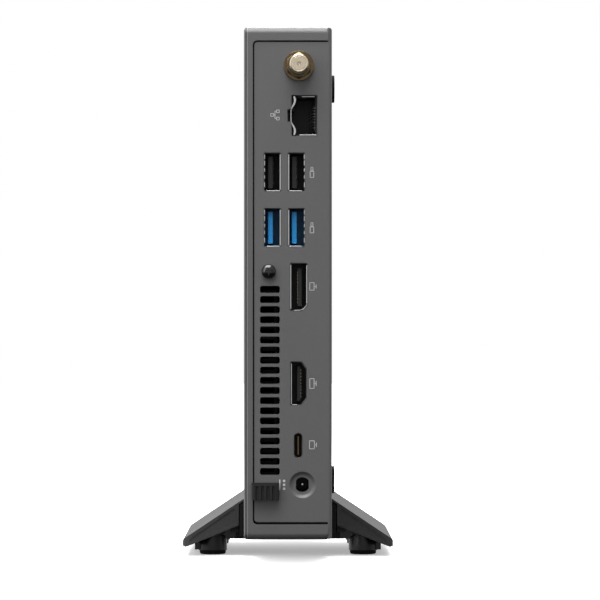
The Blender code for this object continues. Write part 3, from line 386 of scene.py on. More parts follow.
def turned_metal(name, base, roughness=0.27):
    """Plated turned metal: fine tool marks and slight tarnish."""
    graph = Graph(name, base, roughness, 1.0)
    place = graph.place()
    marks = graph.noise(graph.stretched(place, (0.3, 1.0, 0.3)), 0.00018, 2.0)
    tarnish = graph.noise(place, 0.0022, 4.0, 0.6)
    graph.set("Base Color", graph.mix(tarnish, shade(base, 0.8), shade(base, 1.1)))
    graph.set("Roughness", roughness - 0.06 + marks * 0.12)
    graph.bump(marks, 0.000006, 0.3)
    return graph


def circuit_board(name, base):
    """Solder mask over copper tracks that run along and across, with plated holes."""
    graph = Graph(name, base, 0.4)
    place = graph.place()
    blocks = graph.ramp(graph.noise(place, 0.011, 1.0), 0.48, 0.5)
    along_y = graph.axis(graph.stretched(place, (0.0, 1250.0, 0.0)), "Y")
    along_z = graph.axis(graph.stretched(place, (0.0, 0.0, 1250.0)), "Z")
    line_y = graph.maths("FRACT", along_y) > 0.62
    line_z = graph.maths("FRACT", along_z) > 0.62
    tracks = line_y * blocks + line_z * (1.0 - blocks)
    holes = 1.0 - graph.ramp(graph.cells(place, 0.0042), 0.07, 0.09)
    tone = graph.mix(tracks, (*base, 1.0), shade(base, 1.9))
    graph.set("Base Color", graph.mix(holes, tone, (0.5, 0.42, 0.22, 1.0)))
    graph.set("Metallic", holes * 0.9)
    graph.bump(tracks, 0.00003, 0.5)
    return graph


def printed_ink(name, base):
    graph = Graph(name, base, 0.55)
    patchy = graph.noise(graph.place(), 0.0004, 3.0)
    graph.set("Base Color", graph.mix(patchy, shade(base, 0.75), shade(base, 1.15)))
    graph.bump(patchy, 0.000006, 0.4)
    return graph


def lens_plastic(name):
    graph = Graph(name, (0.78, 0.8, 0.82), 0.35, 0.0, Transmission_Weight=0.5)
    frost = graph.noise(graph.place(), 0.0003, 3.0)
    graph.set("Roughness", 0.3 + frost * 0.2)
    graph.bump(frost, 0.00001, 0.4)
    return graph


def tinted(name, make, group, key, *more):
    """A finish whose colour is one of the user's settings."""
    return finish(name, lambda name: make(name, getattr(settings(group), key), *more))


def paint():
    casing = settings("mini_pc_casing")
    return finish("cover_powder_coat", lambda name: powder_coat(
        name, casing.paint, casing.paint_roughness, casing.grain))


def bezel_plastic():
    group = settings("mini_pc_plastics")
    return finish("bezel_moulding", lambda name: moulding(name, group.bezel, 0.48, group.grain))


def stand_plastic():
    group = settings("mini_pc_plastics")
    return finish("stand_moulding", lambda name: moulding(
        name, group.stand, 0.5, group.grain, sheen=0.25))


def black_plastic():
    group = settings("mini_pc_plastics")
    return finish("black_moulding", lambda name: moulding(
        name, group.black, 0.42, group.grain / 2, 0.00001, 0.3))


# Near-black gloss for the stand's bosses: darker than the stand plastic as painted shade.
def gloss_black():
    return finish("gloss_black", lambda name: moulding(
        name, (0.006, 0.006, 0.006), 0.24, 0.0008, 0.000004, 0.4))


def blue_plastic():
    group = settings("mini_pc_plastics")
    return finish("blue_moulding", lambda name: moulding(
        name, group.blue, 0.42, group.grain / 2, 0.00001))


def liner_rubber():
    return tinted("liner_rubber", soft_rubber, "mini_pc_plastics", "liner")


def foot_rubber():
    return tinted("foot_rubber", soft_rubber, "mini_pc_plastics", "rubber")


def tin():
    return tinted("tinned_steel", tinned_steel, "mini_pc_metals", "tin")


def gold():
    return tinted("gold_plate", turned_metal, "mini_pc_metals", "gold")


def brass():
    return tinted("aged_brass", turned_metal, "mini_pc_metals", "brass", 0.24)


# Darkened nickel: painted shade for the inside of the socket openings.
def nickel():
    return tinted("dull_nickel", tinned_steel, "mini_pc_metals", "nickel", 0.5)


def copper():
    return tinted("bare_copper", turned_metal, "mini_pc_metals", "copper", 0.35)


# Near-black fins: painted shade for the inside of the casing, seen through the vents.
def fins_in_painted_shade():
    return tinted("dark_fin_coat", tinned_steel, "mini_pc_metals", "fins_painted_shade", 0.5)


def black_steel():
    return finish("black_oxide_steel", lambda name: turned_metal(name, (0.07, 0.07, 0.072), 0.18))


def board_mask():
    return tinted("board_solder_mask", circuit_board, "mini_pc_metals", "board")


def ink():
    return tinted("socket_mark_ink", printed_ink, "mini_pc_casing", "ink")


def lens():
    return finish("status_lens", lens_plastic)


# Mesh tools

def made(name, shape, look=None):
    """Links a finished bmesh as an object whose vertices are in world space."""
    bmesh.ops.recalc_face_normals(shape, faces=shape.faces)
    mesh = bpy.data.meshes.new(name)
    shape.to_mesh(mesh)
    shape.free()
    obj = bpy.data.objects.new(name, mesh)
    bpy.context.scene.collection.objects.link(obj)
    if look:
        mesh.materials.append(look)
    return obj


def spot(axis, across, up, along, origin=CHASSIS):
    """World point from an outline's two coordinates and the distance along its axis."""
    x, y, z = {
        "X": (along, across, up), "Y": (across, along, up), "Z": (across, up, along)}[axis]
    return origin + Vector((x, y, z)) * MM


def prism(name, outline, axis, span, look=None, origin=CHASSIS):
    """A flat outline given a thickness along an axis."""
    shape = bmesh.new()
    base = shape.faces.new([
        shape.verts.new(spot(axis, across, up, span[0], origin)) for across, up in outline])
    grown_part = bmesh.ops.extrude_face_region(shape, geom=[base])["geom"]
    step = spot(axis, 0, 0, span[1] - span[0], Vector())
    bmesh.ops.translate(
        shape, vec=step, verts=[item for item in grown_part if isinstance(item, bmesh.types.BMVert)])
    return made(name, shape, look)


def slab(name, x, y, z, look=None, origin=CHASSIS):
    corners = [(x[0], z[0]), (x[1], z[0]), (x[1], z[1]), (x[0], z[1])]
    return prism(name, corners, "Y", y, look, origin)


def rounded(corners, steps=6):
    """An outline whose corners are (across, up, radius); a radius of 0 keeps the corner sharp."""
    outline = []
    for i, (x, y, radius) in enumerate(corners):
        if not radius:
            outline.append((x, y))
            continue
        here = Vector((x, y))
        before = (Vector(corners[i - 1][:2]) - here).normalized()
        after = (Vector(corners[(i + 1) % len(corners)][:2]) - here).normalized()
        half_angle = before.angle(after) / 2
        centre = here + (before + after).normalized() * radius / math.sin(half_angle)
        reach = radius / math.tan(half_angle)
        start, end = here + before * reach - centre, here + after * reach - centre
        first = math.atan2(start.y, start.x)
        sweep = (math.atan2(end.y, end.x) - first + math.pi) % (2 * math.pi) - math.pi
        for step in range(steps + 1):
            angle = first + sweep * step / steps
            outline.append((centre.x + radius * math.cos(angle),
                            centre.y + radius * math.sin(angle)))
    return outline


def rectangle(across, up, radius=0.0, steps=6):
    radii = radius if isinstance(radius, tuple) else (radius,) * 4
    places = ((across[0], up[0]), (across[1], up[0]), (across[1], up[1]), (across[0], up[1]))
    return rounded([(*place, r) for place, r in zip(places, radii)], steps)


def circle(centre, radius, steps=32):
    return [(centre[0] + radius * math.cos(2 * math.pi * i / steps),
             centre[1] + radius * math.sin(2 * math.pi * i / steps)) for i in range(steps)]


def loft(name, loops, look=None):
    """Skins a row of loops that have the same number of points, and caps both ends."""
    shape = bmesh.new()
    rings = [[shape.verts.new(point) for point in loop] for loop in loops]
    for low, high in zip(rings, rings[1:]):
        for i in range(len(low)):
            j = (i + 1) % len(low)
            shape.faces.new((low[i], low[j], high[j], high[i]))
    shape.faces.new(rings[0])
    shape.faces.new(rings[-1])
    return made(name, shape, look)


def lathe(name, profile, centre, axis, look=None, steps=48, origin=CHASSIS):
    """Turns (radius, height) points round an axis; height counts along the axis's direction."""
    sign = -1 if axis[0] == "-" else 1
    shape = bmesh.new()
    rings = []
    for radius, height in profile:
        count = 1 if radius == 0 else steps
        ring = []
        for i in range(count):
            a, b = circle((0, 0), radius, steps)[i] if count > 1 else (0.0, 0.0)
            offset = spot(axis[1], a, b, sign * height, Vector())
            ring.append(shape.verts.new(origin + Vector(centre) * MM + offset))
        rings.append(ring)
    for low, high in zip(rings, rings[1:]):
        for i in range(steps):
            j = (i + 1) % steps
            corners = [low[i % len(low)], low[j % len(low)], high[j % len(high)], high[i % len(high)]]
            unique = [v for n, v in enumerate(corners) if v not in corners[:n]]
            if len(unique) > 2:
                shape.faces.new(unique)
    for ring in (rings[0], rings[-1]):
        if len(ring) > 1 and profile[0] != profile[-1]:
            shape.faces.new(ring)
    bmesh.ops.remove_doubles(shape, verts=shape.verts, dist=FINE)
    return made(name, shape, look)


def tube(name, route, radius, look=None, sides=12):
    """A round bar along a route of world points."""
    shape = bmesh.new()
    rings = []
    for i, here in enumerate(route):
        ahead = (route[min(i + 1, len(route) - 1)] - route[max(i - 1, 0)]).normalized()
        side = ahead.orthogonal().normalized() if i == 0 else (side - ahead * side.dot(ahead)).normalized()
        up = ahead.cross(side)
        rings.append([
            shape.verts.new(here + (side * math.cos(a) + up * math.sin(a)) * radius * MM)
            for a in (2 * math.pi * n / sides for n in range(sides))])
    for low, high in zip(rings, rings[1:]):
        for i in range(sides):
            j = (i + 1) % sides
            shape.faces.new((low[i], low[j], high[j], high[i]))
    shape.faces.new(rings[0])
    shape.faces.new(rings[-1])
    return made(name, shape, look)


def carve(target, cutters, operation="DIFFERENCE"):
    """Applies Booleans with every cutter and removes the cutters."""
    for cutter in cutters:
        boolean = target.modifiers.new(cutter.name, "BOOLEAN")
        boolean.object = cutter
        boolean.operation = operation
        boolean.solver = "EXACT"
    bpy.context.view_layer.update()
    graph = bpy.context.evaluated_depsgraph_get()
    mesh = bpy.data.meshes.new_from_object(target.evaluated_get(graph))
    target.modifiers.clear()
    old = target.data
    target.data = mesh
    mesh.name = old.name
    bpy.data.meshes.remove(old)
    for cutter in cutters:
        bpy.data.objects.remove(cutter)
    return target


def joined(name, pieces, look=None):
    """Several objects as one, each keeping its own finish unless one is given for all."""
    shape = bmesh.new()
    looks = []
    for piece in pieces:
        first = len(shape.faces)
        shape.from_mesh(piece.data)
        own = piece.data.materials[0] if piece.data.materials and not look else look
        if own not in looks:
            looks.append(own)
        shape.faces.ensure_lookup_table()
        for face in shape.faces[first:]:
            face.material_index = looks.index(own)
    for piece in pieces:
        bpy.data.objects.remove(piece)
    obj = made(name, shape)
    for own in looks:
        obj.data.materials.append(own)
    return obj


def soften(obj, width, segments=2, angle=32.0):
    """Small rounds on every sharp edge, and shading that keeps flats flat."""
    if width:
        bevel = obj.modifiers.new("soft edges", "BEVEL")
        bevel.width = width * MM
        bevel.segments = segments
        bevel.limit_method = "ANGLE"
        bevel.angle_limit = math.radians(angle)
        bevel.harden_normals = True
        bevel.use_clamp_overlap = True
    obj.data.shade_smooth()
    obj.data.set_sharp_from_angle(angle=math.radians(angle))
    flat = obj.modifiers.new("flat faces", "WEIGHTED_NORMAL")
    flat.keep_sharp = True
    flat.weight = 100
    return obj


def settle(obj, body, slot, *nodes):
    """Says which body carries a piece, which slot it takes its finish from and what it stands for."""
    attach(obj, body)
    if nodes:
        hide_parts(*nodes)
    return obj


def dress(node, look, width=0.12, segments=1):
    """Gives a CAD node its finish and small edge rounds, leaving its mesh as it is."""
    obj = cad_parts[node]
    obj.data.materials.clear()
    obj.data.materials.append(look)
    weld = obj.modifiers.new("weld", "WELD")
    weld.merge_threshold = 1e-6
    if width:
        bevel = obj.modifiers.new("soft edges", "BEVEL")
        bevel.width = width * MM
        bevel.segments = segments
        bevel.limit_method = "ANGLE"
        bevel.angle_limit = math.radians(40)
    return obj


# Sockets' outlines, shared by the panel's openings and the shells behind them

USB_WIDE, USB_TALL = 6.0, 13.5
UPPER_USB_Z = middle(span_of("usb_upper_shell", 2))
LOWER_USB_Z = middle(span_of("usb_lower_shell", 2))
USB_LEFT_X = span_of("usb_upper_shell", 0)[1] - 0.3 - USB_WIDE / 2
USB_RIGHT_X = span_of("usb_upper_shell", 0)[0] + 0.3 + USB_WIDE / 2
LAN_X = span_of("network_jack", 0)[0] + 1.6 + 4.5
LAN_Z = middle(span_of("network_jack", 2))
VIDEO_UPPER = face_centre("video_upper_shell")
VIDEO_LOWER = face_centre("video_lower_shell")
USB_C = face_centre("usb_c_shell")
INLET = face_centre("inlet_pin")
JACK = face_centre("antenna_jack")
SCREW = face_centre("cover_screw")
LATCH_X, LATCH_Z = span_of("cover_latch", 0), span_of("cover_latch", 2)
VENT_X, VENT_WIDE, VENT_TALL, VENT_PITCH = 6.2, 6.8, 2.4, 3.49
VENT_COUNT, VENT_LOWEST = 19, 23.6


def lan_outline(by):
    x0, x1 = grown(about(LAN_X, 9.0), by)
    z0, z1 = grown(about(LAN_Z, 14.2), by)
    n0, n1 = grown(about(LAN_Z, 4.4), by)
    nx = x1 + 1.4
    return rounded([
        (x0, z0, 0.3), (x1, z0, 0.2), (x1, n0, 0), (nx, n0, 0.3), (nx, n1, 0.3), (x1, n1, 0),
        (x1, z1, 0.2), (x0, z1, 0.3)], 3)


def video_upper_outline(by):
    x0, x1 = grown(about(VIDEO_UPPER[0], 6.1), by)
    z0, z1 = grown(about(VIDEO_UPPER[1], 16.7), by)
    return rounded([
        (x0 + 1.8, z0, 0.4), (x1, z0, 0.5), (x1, z1, 0.5), (x0, z1, 0.5), (x0, z0 + 1.8, 0.4)], 5)


def video_lower_outline(by):
    x0, x1 = grown(about(VIDEO_LOWER[0], 5.8), by)
    z0, z1 = grown(about(VIDEO_LOWER[1], 15.3), by)
    return rounded([
        (x0, z0 + 2.5, 0.6), (x0 + 1.8, z0, 0.6), (x1, z0, 0.4), (x1, z1, 0.4),
        (x0 + 1.8, z1, 0.6), (x0, z1 - 2.5, 0.6)], 5)


def usb_outline(x, z, by):
    return rectangle(grown(about(x, USB_WIDE), by), grown(about(z, USB_TALL), by), 0.4, 3)


def usb_c_outline(by, centre=USB_C):
    return rectangle(grown(about(centre[0], 3.1), by), grown(about(centre[1], 8.8), by),
                     1.5 + by, 8)


# Casing

def rim_profile(rise, side, steps=10):
    """(distance from the rear face, inset upright, inset sideways) along the rounded rear rim."""
    turns = (math.pi / 2 * i / steps for i in range(steps + 1))
    return [(rise * (1 - math.sin(a)), rise * (1 - math.cos(a)), side * (1 - math.cos(a)))
            for a in turns]


def cover_window(by=0.0):
    """The rear opening's outline, open towards the tray's plate; its lower seam is the widest."""
    corner = FRAME_CORNER - by
    return rectangle(
        (-2 * HALF, HALF - FRAME_SIDE - by), (FRAME_BOTTOM + LOWER_SEAM * by, HEIGHT - FRAME_TOP - by),
        (0, corner, corner, 0), 8)


def build_cover():
    """Folded cover with a thick rear frame and a rounded rear rim."""
    group = settings("mini_pc_casing")
    rise, side = group.rim_rise / MM, group.rim_side / MM
    rim = [(REAR - back, dz, dx) for back, dz, dx in rim_profile(rise, side)]
    loops = []
    for y, dz, dx in [(COVER_FRONT, 0.12, 0.12), (COVER_FRONT + 0.25, 0.0, 0.0), *rim]:
        outline = rectangle((COVER_END, HALF - dx), (dz, HEIGHT - dz), (0.8, 1.3, 1.3, 0.8), 6)
        loops.append([spot("Y", across, up, y) for across, up in outline])
    cover = loft("cover", loops, paint())
    inner = rectangle(
        (COVER_END - 3, HALF - WALL), (WALL, HEIGHT - WALL), (0, 0.9, 0.9, 0), 6)
    carve(cover, [
        prism("hollow", inner, "Y", (COVER_FRONT - 3, REAR - FRAME_DEPTH)),
        prism("window", cover_window(), "Y", (REAR - 12, REAR + 5))])
    soften(cover, 0.1, 2, 40)
    settle(cover, "chassis", "casing_paint", "cover_shell")


def build_painted_edge_lines():
    """The folded side sheet's edge: a shaded line and the lit corner beside it."""
    group = settings("mini_pc_casing")
    rise, side = group.rim_rise / MM, group.rim_side / MM
    # Both strips are the paint scaled: darker for the painted shade, lighter for the painted highlight.
    lines = (("seam_shade", 0.72, 0.36, shade(group.paint, 0.45)),
             ("seam_light", 1.22, 0.26, shade(group.paint, 2.2)))
    for name, inset, wide, tint in lines:
        route = []
        for proud in (0.015, -0.4):
            half = [(REAR - back + proud, dz - proud) for back, dz, _ in rim_profile(rise, side)[2:]]
            path = half + [(y, HEIGHT - up) for y, up in reversed(half)]
            route += path if proud > 0 else path[::-1]
        look = finish(name, lambda name, tint=tint: powder_coat(
            name, tint[:3], group.paint_roughness, group.grain))
        line = prism(name, route, "X", about(HALF - inset, wide), look)
        soften(line, 0, 0, 40)
        settle(line, "chassis", "casing_paint")


def build_seam_painted_shade():
    """Dark foam strips that close the seam between the cover's frame and the rear panel."""
    depth = (PANEL_OUT - 2.2, PANEL_OUT - 0.75)
    low, high, side = FRAME_BOTTOM, HEIGHT - FRAME_TOP, HALF - FRAME_SIDE
    spans = [((side - 1.6, side + 0.3), (low - 0.3, high + 0.3))]
    spans += [((-HALF + PLATE + 0.02, side), (edge - 1.0, edge + 1.0)) for edge in (low, high)]
    gasket = joined("seam_gasket", [
        slab("strip", across, depth, up, liner_rubber()) for across, up in spans])
    soften(gasket, 0)
    settle(gasket, "chassis", "black_plastic")


def panel_holes():
    deep = (PANEL_IN - 3, PANEL_OUT + 3)
    holes = [prism("hole", usb_outline(x, z, 0), "Y", deep)
             for x in (USB_LEFT_X, USB_RIGHT_X) for z in (UPPER_USB_Z, LOWER_USB_Z)]
    holes += [prism("hole", outline, "Y", deep) for outline in (
        lan_outline(0), video_upper_outline(0), video_lower_outline(0), usb_c_outline(0),
        rectangle((LATCH_X[0] + 0.2, LATCH_X[1] - 2.5), grown(LATCH_Z, -1.2), 0.2, 2),
        circle(JACK, 3.5, 40), circle(SCREW, 1.6, 24))]
    for row in range(VENT_COUNT):
        z = VENT_LOWEST + row * VENT_PITCH
        holes.append(prism("hole", rectangle(
            about(VENT_X, VENT_WIDE), about(z, VENT_TALL), 0.7, 5), "Y", deep))
    return holes


def inlet_bore_outline(radius, flat):
    """A circle with flats at its two sides."""
    start = math.acos(flat / radius)
    arc = [start + (math.pi - 2 * start) * i / 16 for i in range(17)]
    upper = [(radius * math.cos(a), radius * math.sin(a)) for a in arc]
    return [(INLET[0] + x, INLET[1] + z) for x, z in upper + [(-x, -z) for x, z in upper]]


def build_tray():
    """Base plate and rear panel folded from one sheet, with a dished inlet and all openings."""
    inner = -HALF + PLATE
    plan = rounded([
        (-HALF, COVER_FRONT, 0), (inner, COVER_FRONT, 0), (inner, PANEL_IN, 0.2),
        (HALF - FRAME_SIDE - SEAM, PANEL_IN, 0), (HALF - FRAME_SIDE - SEAM, PANEL_OUT, 0),
        (-HALF, PANEL_OUT, 1.2)], 8)
    tray = prism("tray", plan, "Z", (0, HEIGHT), paint())
    trim = slab("trim", (inner + 0.3, HALF), (PANEL_IN - 2, PANEL_OUT + 2), (-2, HEIGHT + 2))
    carve(trim, [prism("kept", cover_window(SEAM), "Y", (PANEL_IN - 4, PANEL_OUT + 4))])
    sides = rectangle((-HALF, HALF + 9), (0.3, HEIGHT - 0.35), (0.9, 0, 0, 0.9), 6)
    cup = lathe("cup", [(0, -1.4), (4.9, -1.4), (5.05, -0.9), (5.05, 0.2), (0, 0.2)],
                (INLET[0], PANEL_IN, INLET[1]), "+Y", None, 64)
    carve(tray, [trim])
    carve(tray, [prism("sides", sides, "Y", (COVER_FRONT - 1, REAR + 1))], "INTERSECT")
    carve(tray, [cup], "UNION")
    dish = lathe("dish", [
        (0, 2), (4.75, 2), (4.7, 0.02), (4.5, -0.1), (4.1, -0.45), (3.75, -0.8), (3.5, -0.9),
        (0, -0.9)], (INLET[0], PANEL_OUT, INLET[1]), "+Y", None, 64)
    bore = prism("bore", inlet_bore_outline(2.6, 2.2), "Y", (PANEL_IN - 4, PANEL_OUT + 3))
    carve(tray, panel_holes() + [dish, bore])
    soften(tray, 0.09, 2, 38)
    settle(tray, "chassis", "casing_paint", "base_tray")


def bars(name, boxes, proud=0.02):
    """Flat printed bars on the rear panel, each (x span, z span)."""
    return [slab(f"{name}_{i}", x, (PANEL_OUT + 0.005, PANEL_OUT + proud), z, ink())
            for i, (x, z) in enumerate(boxes)]


def frame_bars(x, z, line):
    """Four bars that outline a rectangle."""
    return [(x, (z[0], z[0] + line)), (x, (z[1] - line, z[1])),
            ((x[0], x[0] + line), z), ((x[1] - line, x[1]), z)]


def socket_marks():
    """Generic pictograms: joined boxes, plug outlines, screens and the direct-current sign."""
    line = 0.22
    marks = []
    x, z = 4.45, LAN_Z + 0.2
    for dx, dz in ((1.0, 0.0), (-1.0, 1.25), (-1.0, -1.25)):
        marks += frame_bars(about(x + dx, 1.15), about(z + dz, 1.15), line)
    marks += [(about(x, line), about(z, 2.6)), (about(x + 0.22, 0.45), about(z, line))]
    marks += [(about(x - 0.22, 0.45), about(z + d, line)) for d in (1.25, -1.25)]
    side = -8.3
    for z in (UPPER_USB_Z, LOWER_USB_Z):
        marks += frame_bars(about(side, 1.45), about(z - 0.8, 2.3), line)
        marks += frame_bars(about(side, 0.9), about(z + 1.05, 1.4), line)
    for z, wide, tall in ((VIDEO_UPPER[1] + 0.2, 1.7, 2.8), (VIDEO_LOWER[1], 1.7, 3.6),
                          (USB_C[1] + 0.3, 1.9, 3.0)):
        marks += frame_bars(about(side, wide), about(z, tall), line)
        marks += [(about(side - wide / 2 - 0.35, 0.5), about(z, line)),
                  (about(side - wide / 2 - 0.6, line), about(z, tall * 0.5))]
    marks.append((about(2.8, 0.42), about(INLET[1], 3.7)))
    dots = [(about(1.3, 0.75), about(INLET[1] + d, 0.75)) for d in (-1.35, 0.0, 1.35)]
    return marks + dots


def build_marks():
    marks = joined("socket_marks", bars("mark", socket_marks()))
    settle(marks, "chassis", "light_lens")


def build_screw():
    """Round-head screw with a tapered cross recess."""
    head, flat = 2.5, PANEL_OUT + 0.15
    dome = [(head * math.sin(a), 0.7 + 1.55 * math.cos(a))
            for a in (math.pi / 2 * i / 14 for i in range(15))]
    dome[0] = (0, dome[0][1])
    threads = []
    for i in range(9):
        threads += [(1.25, -0.3 - 0.6 * i), (1.0, -0.6 - 0.6 * i)]
    profile = [*dome, (head, 0.12), (head - 0.12, 0), (1.25, 0), *threads, (0, -6.0)]
    screw = lathe("cover_screw_head", profile, (SCREW[0], flat, SCREW[1]), "+Y", black_steel(), 48)
    deep = (flat + 0.9, flat + 4)
    taper = []
    for x, z in ((2.7, 0.62), (0.62, 2.7)):
        loops = [[spot("Y", a, b, y) for a, b in rectangle(
            about(SCREW[0], x * k), about(SCREW[1], z * k), 0.0)]
            for y, k in ((deep[0], 0.72), (flat + 2.3, 1.0), (deep[1], 1.1))]
        taper.append(loft("recess", loops))
    carve(screw, taper)
    soften(screw, 0.06, 2, 30)
    settle(screw, "chassis", "screw_steel", "cover_screw")


def build_latch():
    """Ribbed slider: rounded body, four finger grooves and a raised end rim."""
    y = (PANEL_OUT + 0.3, span_of("cover_latch", 1)[1])
    x, z = LATCH_X, LATCH_Z
    low = PANEL_OUT - PANEL - 2.0
    top = rounded([
        (x[0], y[0], 0), (x[1], y[0], 0), (x[1], y[1], 0.6), (x[0], y[1], 1.3)], 6)
    latch = prism("latch", top, "Z", z, black_plastic())
    grooves = []
    for i in range(4):
        across = x[0] + (x[1] - x[0]) * (i + 1) / 5
        grooves.append(prism("groove", rounded([
            (across - 0.7, y[1] + 0.5, 0), (across - 0.35, y[1] - 0.55, 0.3),
            (across + 0.35, y[1] - 0.55, 0.3), (across + 0.7, y[1] + 0.5, 0)], 4),
            "Z", (z[0] - 1, z[1] - 1.1)))
    rim = slab("rim", (x[0] - 1, x[1] + 1), (y[1] - 0.45, y[1] + 1), (z[1] - 0.75, z[1] + 1))
    carve(latch, [*grooves, rim])
    stem = slab("stem", (x[0] + 3.2, x[0] + 6.2), (low, y[0] + 0.1), about(middle(z), 3.0))
    carve(latch, [stem], "UNION")
    soften(latch, 0.14, 2, 35)
    settle(latch, "latch", "black_plastic", "cover_latch")


def build_case_feet():
    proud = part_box("case_foot_1")[0].x
    top = -HALF - proud / MM
    for number in range(1, 5):
        node = f"case_foot_{number}"
        y, z = middle(span_of(node, 1)), middle(span_of(node, 2))
        profile = [
            (0, top - 0.06), (3.2, top - 0.05), (3.5, top), (4.5, top), (4.72, top - 0.08),
            (4.8, top - 0.25), (4.8, 0.06), (0, 0.06)]
        foot = lathe(f"side_foot_{number}", profile, (-HALF, y, z), "-X", foot_rubber(), 56)
        soften(foot, 0)
        settle(foot, "chassis", "foot_rubber", node)


# Rear sockets

def build_antenna():
    """Threaded jack with its washer and chamfered nut."""
    top = span_of("antenna_jack", 1)[1] - PANEL_OUT
    pitch, start = 0.7, 1.4
    profile = [(0, top - 1.3), (0.42, top - 1.3), (0.5, top - 0.25), (0.72, top), (2.25, top),
               (2.3, top - 0.1), (2.55, top - 0.1), (2.6, top), (2.85, top), (3.2, top - 0.35)]
    turns = int((top - 0.6 - start) / pitch)
    for i in range(turns):
        at = top - 0.6 - i * pitch
        profile += [(3.2, at), (3.2, at - 0.12), (2.92, at - pitch / 2), (3.2, at - pitch + 0.1)]
    profile += [(3.2, 0.4), (3.2, -1.3), (4.5, -1.3), (4.5, -3.3), (1.4, -3.3), (1.4, -7.3), (0, -7.3)]
    jack = lathe("antenna_barrel", profile, (JACK[0], PANEL_OUT, JACK[1]), "+Y", gold(), 48)
    soften(jack, 0, 1, 28)
    settle(jack, "chassis", "gold_plate", "antenna_jack")
    w0, w1 = span_of("antenna_washer", 1)
    rim = (span_of("antenna_washer", 0)[1] - JACK[0])
    thick = w1 - w0
    ring = [(3.35, 0.1), (3.45, 0), (rim - 0.1, 0), (rim, 0.1), (rim, thick - 0.15),
            (rim - 0.15, thick), (3.5, thick), (3.35, thick - 0.1), (3.35, 0.1)]
    washer = lathe("antenna_washer_ring", ring, (JACK[0], w0, JACK[1]), "+Y", brass(), 64)
    soften(washer, 0)
    settle(washer, "chassis", "socket_steel", "antenna_washer")
    n0, n1 = span_of("antenna_nut", 1)
    corner = 8.0 / math.sqrt(3)
    hexagon = prism("antenna_nut_hex", [
        (JACK[0] + corner * math.sin(math.pi * i / 3), JACK[1] + corner * math.cos(math.pi * i / 3))
        for i in range(6)], "Y", (n0, n1), brass())
    cone = lathe("cone", [(0, -1), (corner + 0.4, -1), (corner + 0.05, 0.1),
                          (corner + 0.05, n1 - n0 - 0.5), (3.95, n1 - n0), (3.95, n1 - n0 + 1),
                          (0, n1 - n0 + 1)], (JACK[0], n0, JACK[1]), "+Y", None, 64)
    carve(hexagon, [cone], "INTERSECT")
    carve(hexagon, [prism("bore", circle(JACK, 3.35, 48), "Y", (n0 - 1, n1 + 1))])
    soften(hexagon, 0.08, 2, 25)
    settle(hexagon, "chassis", "socket_steel", "antenna_nut")


def ribbon(name, route, y, look):
    """A folded strip seen edge on: route lists (across, up, thickness) in x and z."""
    near, far = [], []
    for i, (x, z, thick) in enumerate(route):
        ahead = Vector(route[min(i + 1, len(route) - 1)][:2]) - Vector(route[max(i - 1, 0)][:2])
        off = Vector((-ahead.y, ahead.x)).normalized() * thick / 2
        near.append((x + off.x, z + off.y))
        far.append((x - off.x, z - off.y))
    return prism(name, near + far[::-1], "Y", y, look)


def build_network_socket():
    """Shielded socket: shell, dark core, folded spring fingers, lower lip and eight contacts."""
    x, z = span_of("network_jack", 0), span_of("network_jack", 2)
    y = span_of("network_jack", 1)
    shell = slab("network_shell", x, y, z, nickel())
    carve(shell, [prism("hollow", lan_outline(-0.2), "Y", (y[1] - 14.5, y[1] + 1))])
    soften(shell, 0.05, 2, 35)
    settle(shell, "chassis", "socket_steel", "network_jack")
    core = prism("network_core", lan_outline(-0.25), "Y", (y[1] - 14.3, y[1] - 1.5),
                 black_plastic())
    carve(core, [
        prism("mouth", lan_outline(-0.8), "Y", (y[1] - 13.4, y[1] + 1)),
        slab("clip", (LAN_X + 3.0, LAN_X + 5.2), (y[1] - 12, y[1] + 1), about(LAN_Z, 3.4))])
    comb = slab("comb", (LAN_X - 3.9, LAN_X - 3.3), (y[1] - 12.0, y[1] - 2.6),
                about(LAN_Z - 0.7, 9.0), black_plastic())
    core = joined("network_core", [core, comb])
    soften(core, 0.05, 1, 40)
    settle(core, "chassis", "black_plastic")
    side = LAN_X + 4.5
    half = [(-0.95, 6.7, 0.5), (-1.25, 5.6, 0.75), (-1.2, 4.7, 0.65), (-0.75, 3.7, 0.6),
            (-0.2, 2.8, 0.4), (0.12, 1.9, 0.28)]
    fold = half + [(along_x, -up, thick) for along_x, up, thick in reversed(half)]
    front = (y[1] - 2.5, PANEL_OUT - 0.5)
    springs = [
        ribbon("fingers", [(side + dx, LAN_Z + dz, t) for dx, dz, t in fold], front, tin()),
        slab("lip", (LAN_X - 4.2, LAN_X + 1.6), front, (LAN_Z - 6.85, LAN_Z - 6.5), tin()),
        slab("roof", (LAN_X - 3.6, LAN_X + 0.8), (y[1] - 2.5, y[1]), (LAN_Z + 6.5, LAN_Z + 6.75), tin()),
    ]
    fingers = joined("network_fingers", springs)
    soften(fingers, 0.05, 1, 35)
    settle(fingers, "chassis", "socket_steel")
    wires = []
    for i in range(8):
        wz = LAN_Z - 0.7 + (i - 3.5) * 0.98
        route = [spot("Y", a, wz, b) for a, b in (
            (LAN_X - 3.95, y[1] - 2.8), (LAN_X - 3.75, y[1] - 1.4), (LAN_X - 3.3, y[1] - 1.0),
            (LAN_X - 2.9, y[1] - 1.7), (LAN_X - 2.2, y[1] - 6.0), (LAN_X - 1.9, y[1] - 12.0))]
        wires.append(tube(f"network_wire_{i}", route, 0.16, tin(), 8))
    contacts = joined("network_contacts", wires)
    soften(contacts, 0)
    settle(contacts, "chassis", "gold_plate")


def socket_shell(name, node, outlines, look=None, edge=0.05):
    """A plated shell with through openings, dull unless another finish is given."""
    x, y, z = box_of(node)
    shell = slab(name, x, y, z, look or nickel())
    carve(shell, [prism("bore", outline, "Y", (y[0] - 1, y[1] + 1)) for outline in outlines])
    soften(shell, edge, 2, 35)
    settle(shell, "chassis", "socket_steel", node)


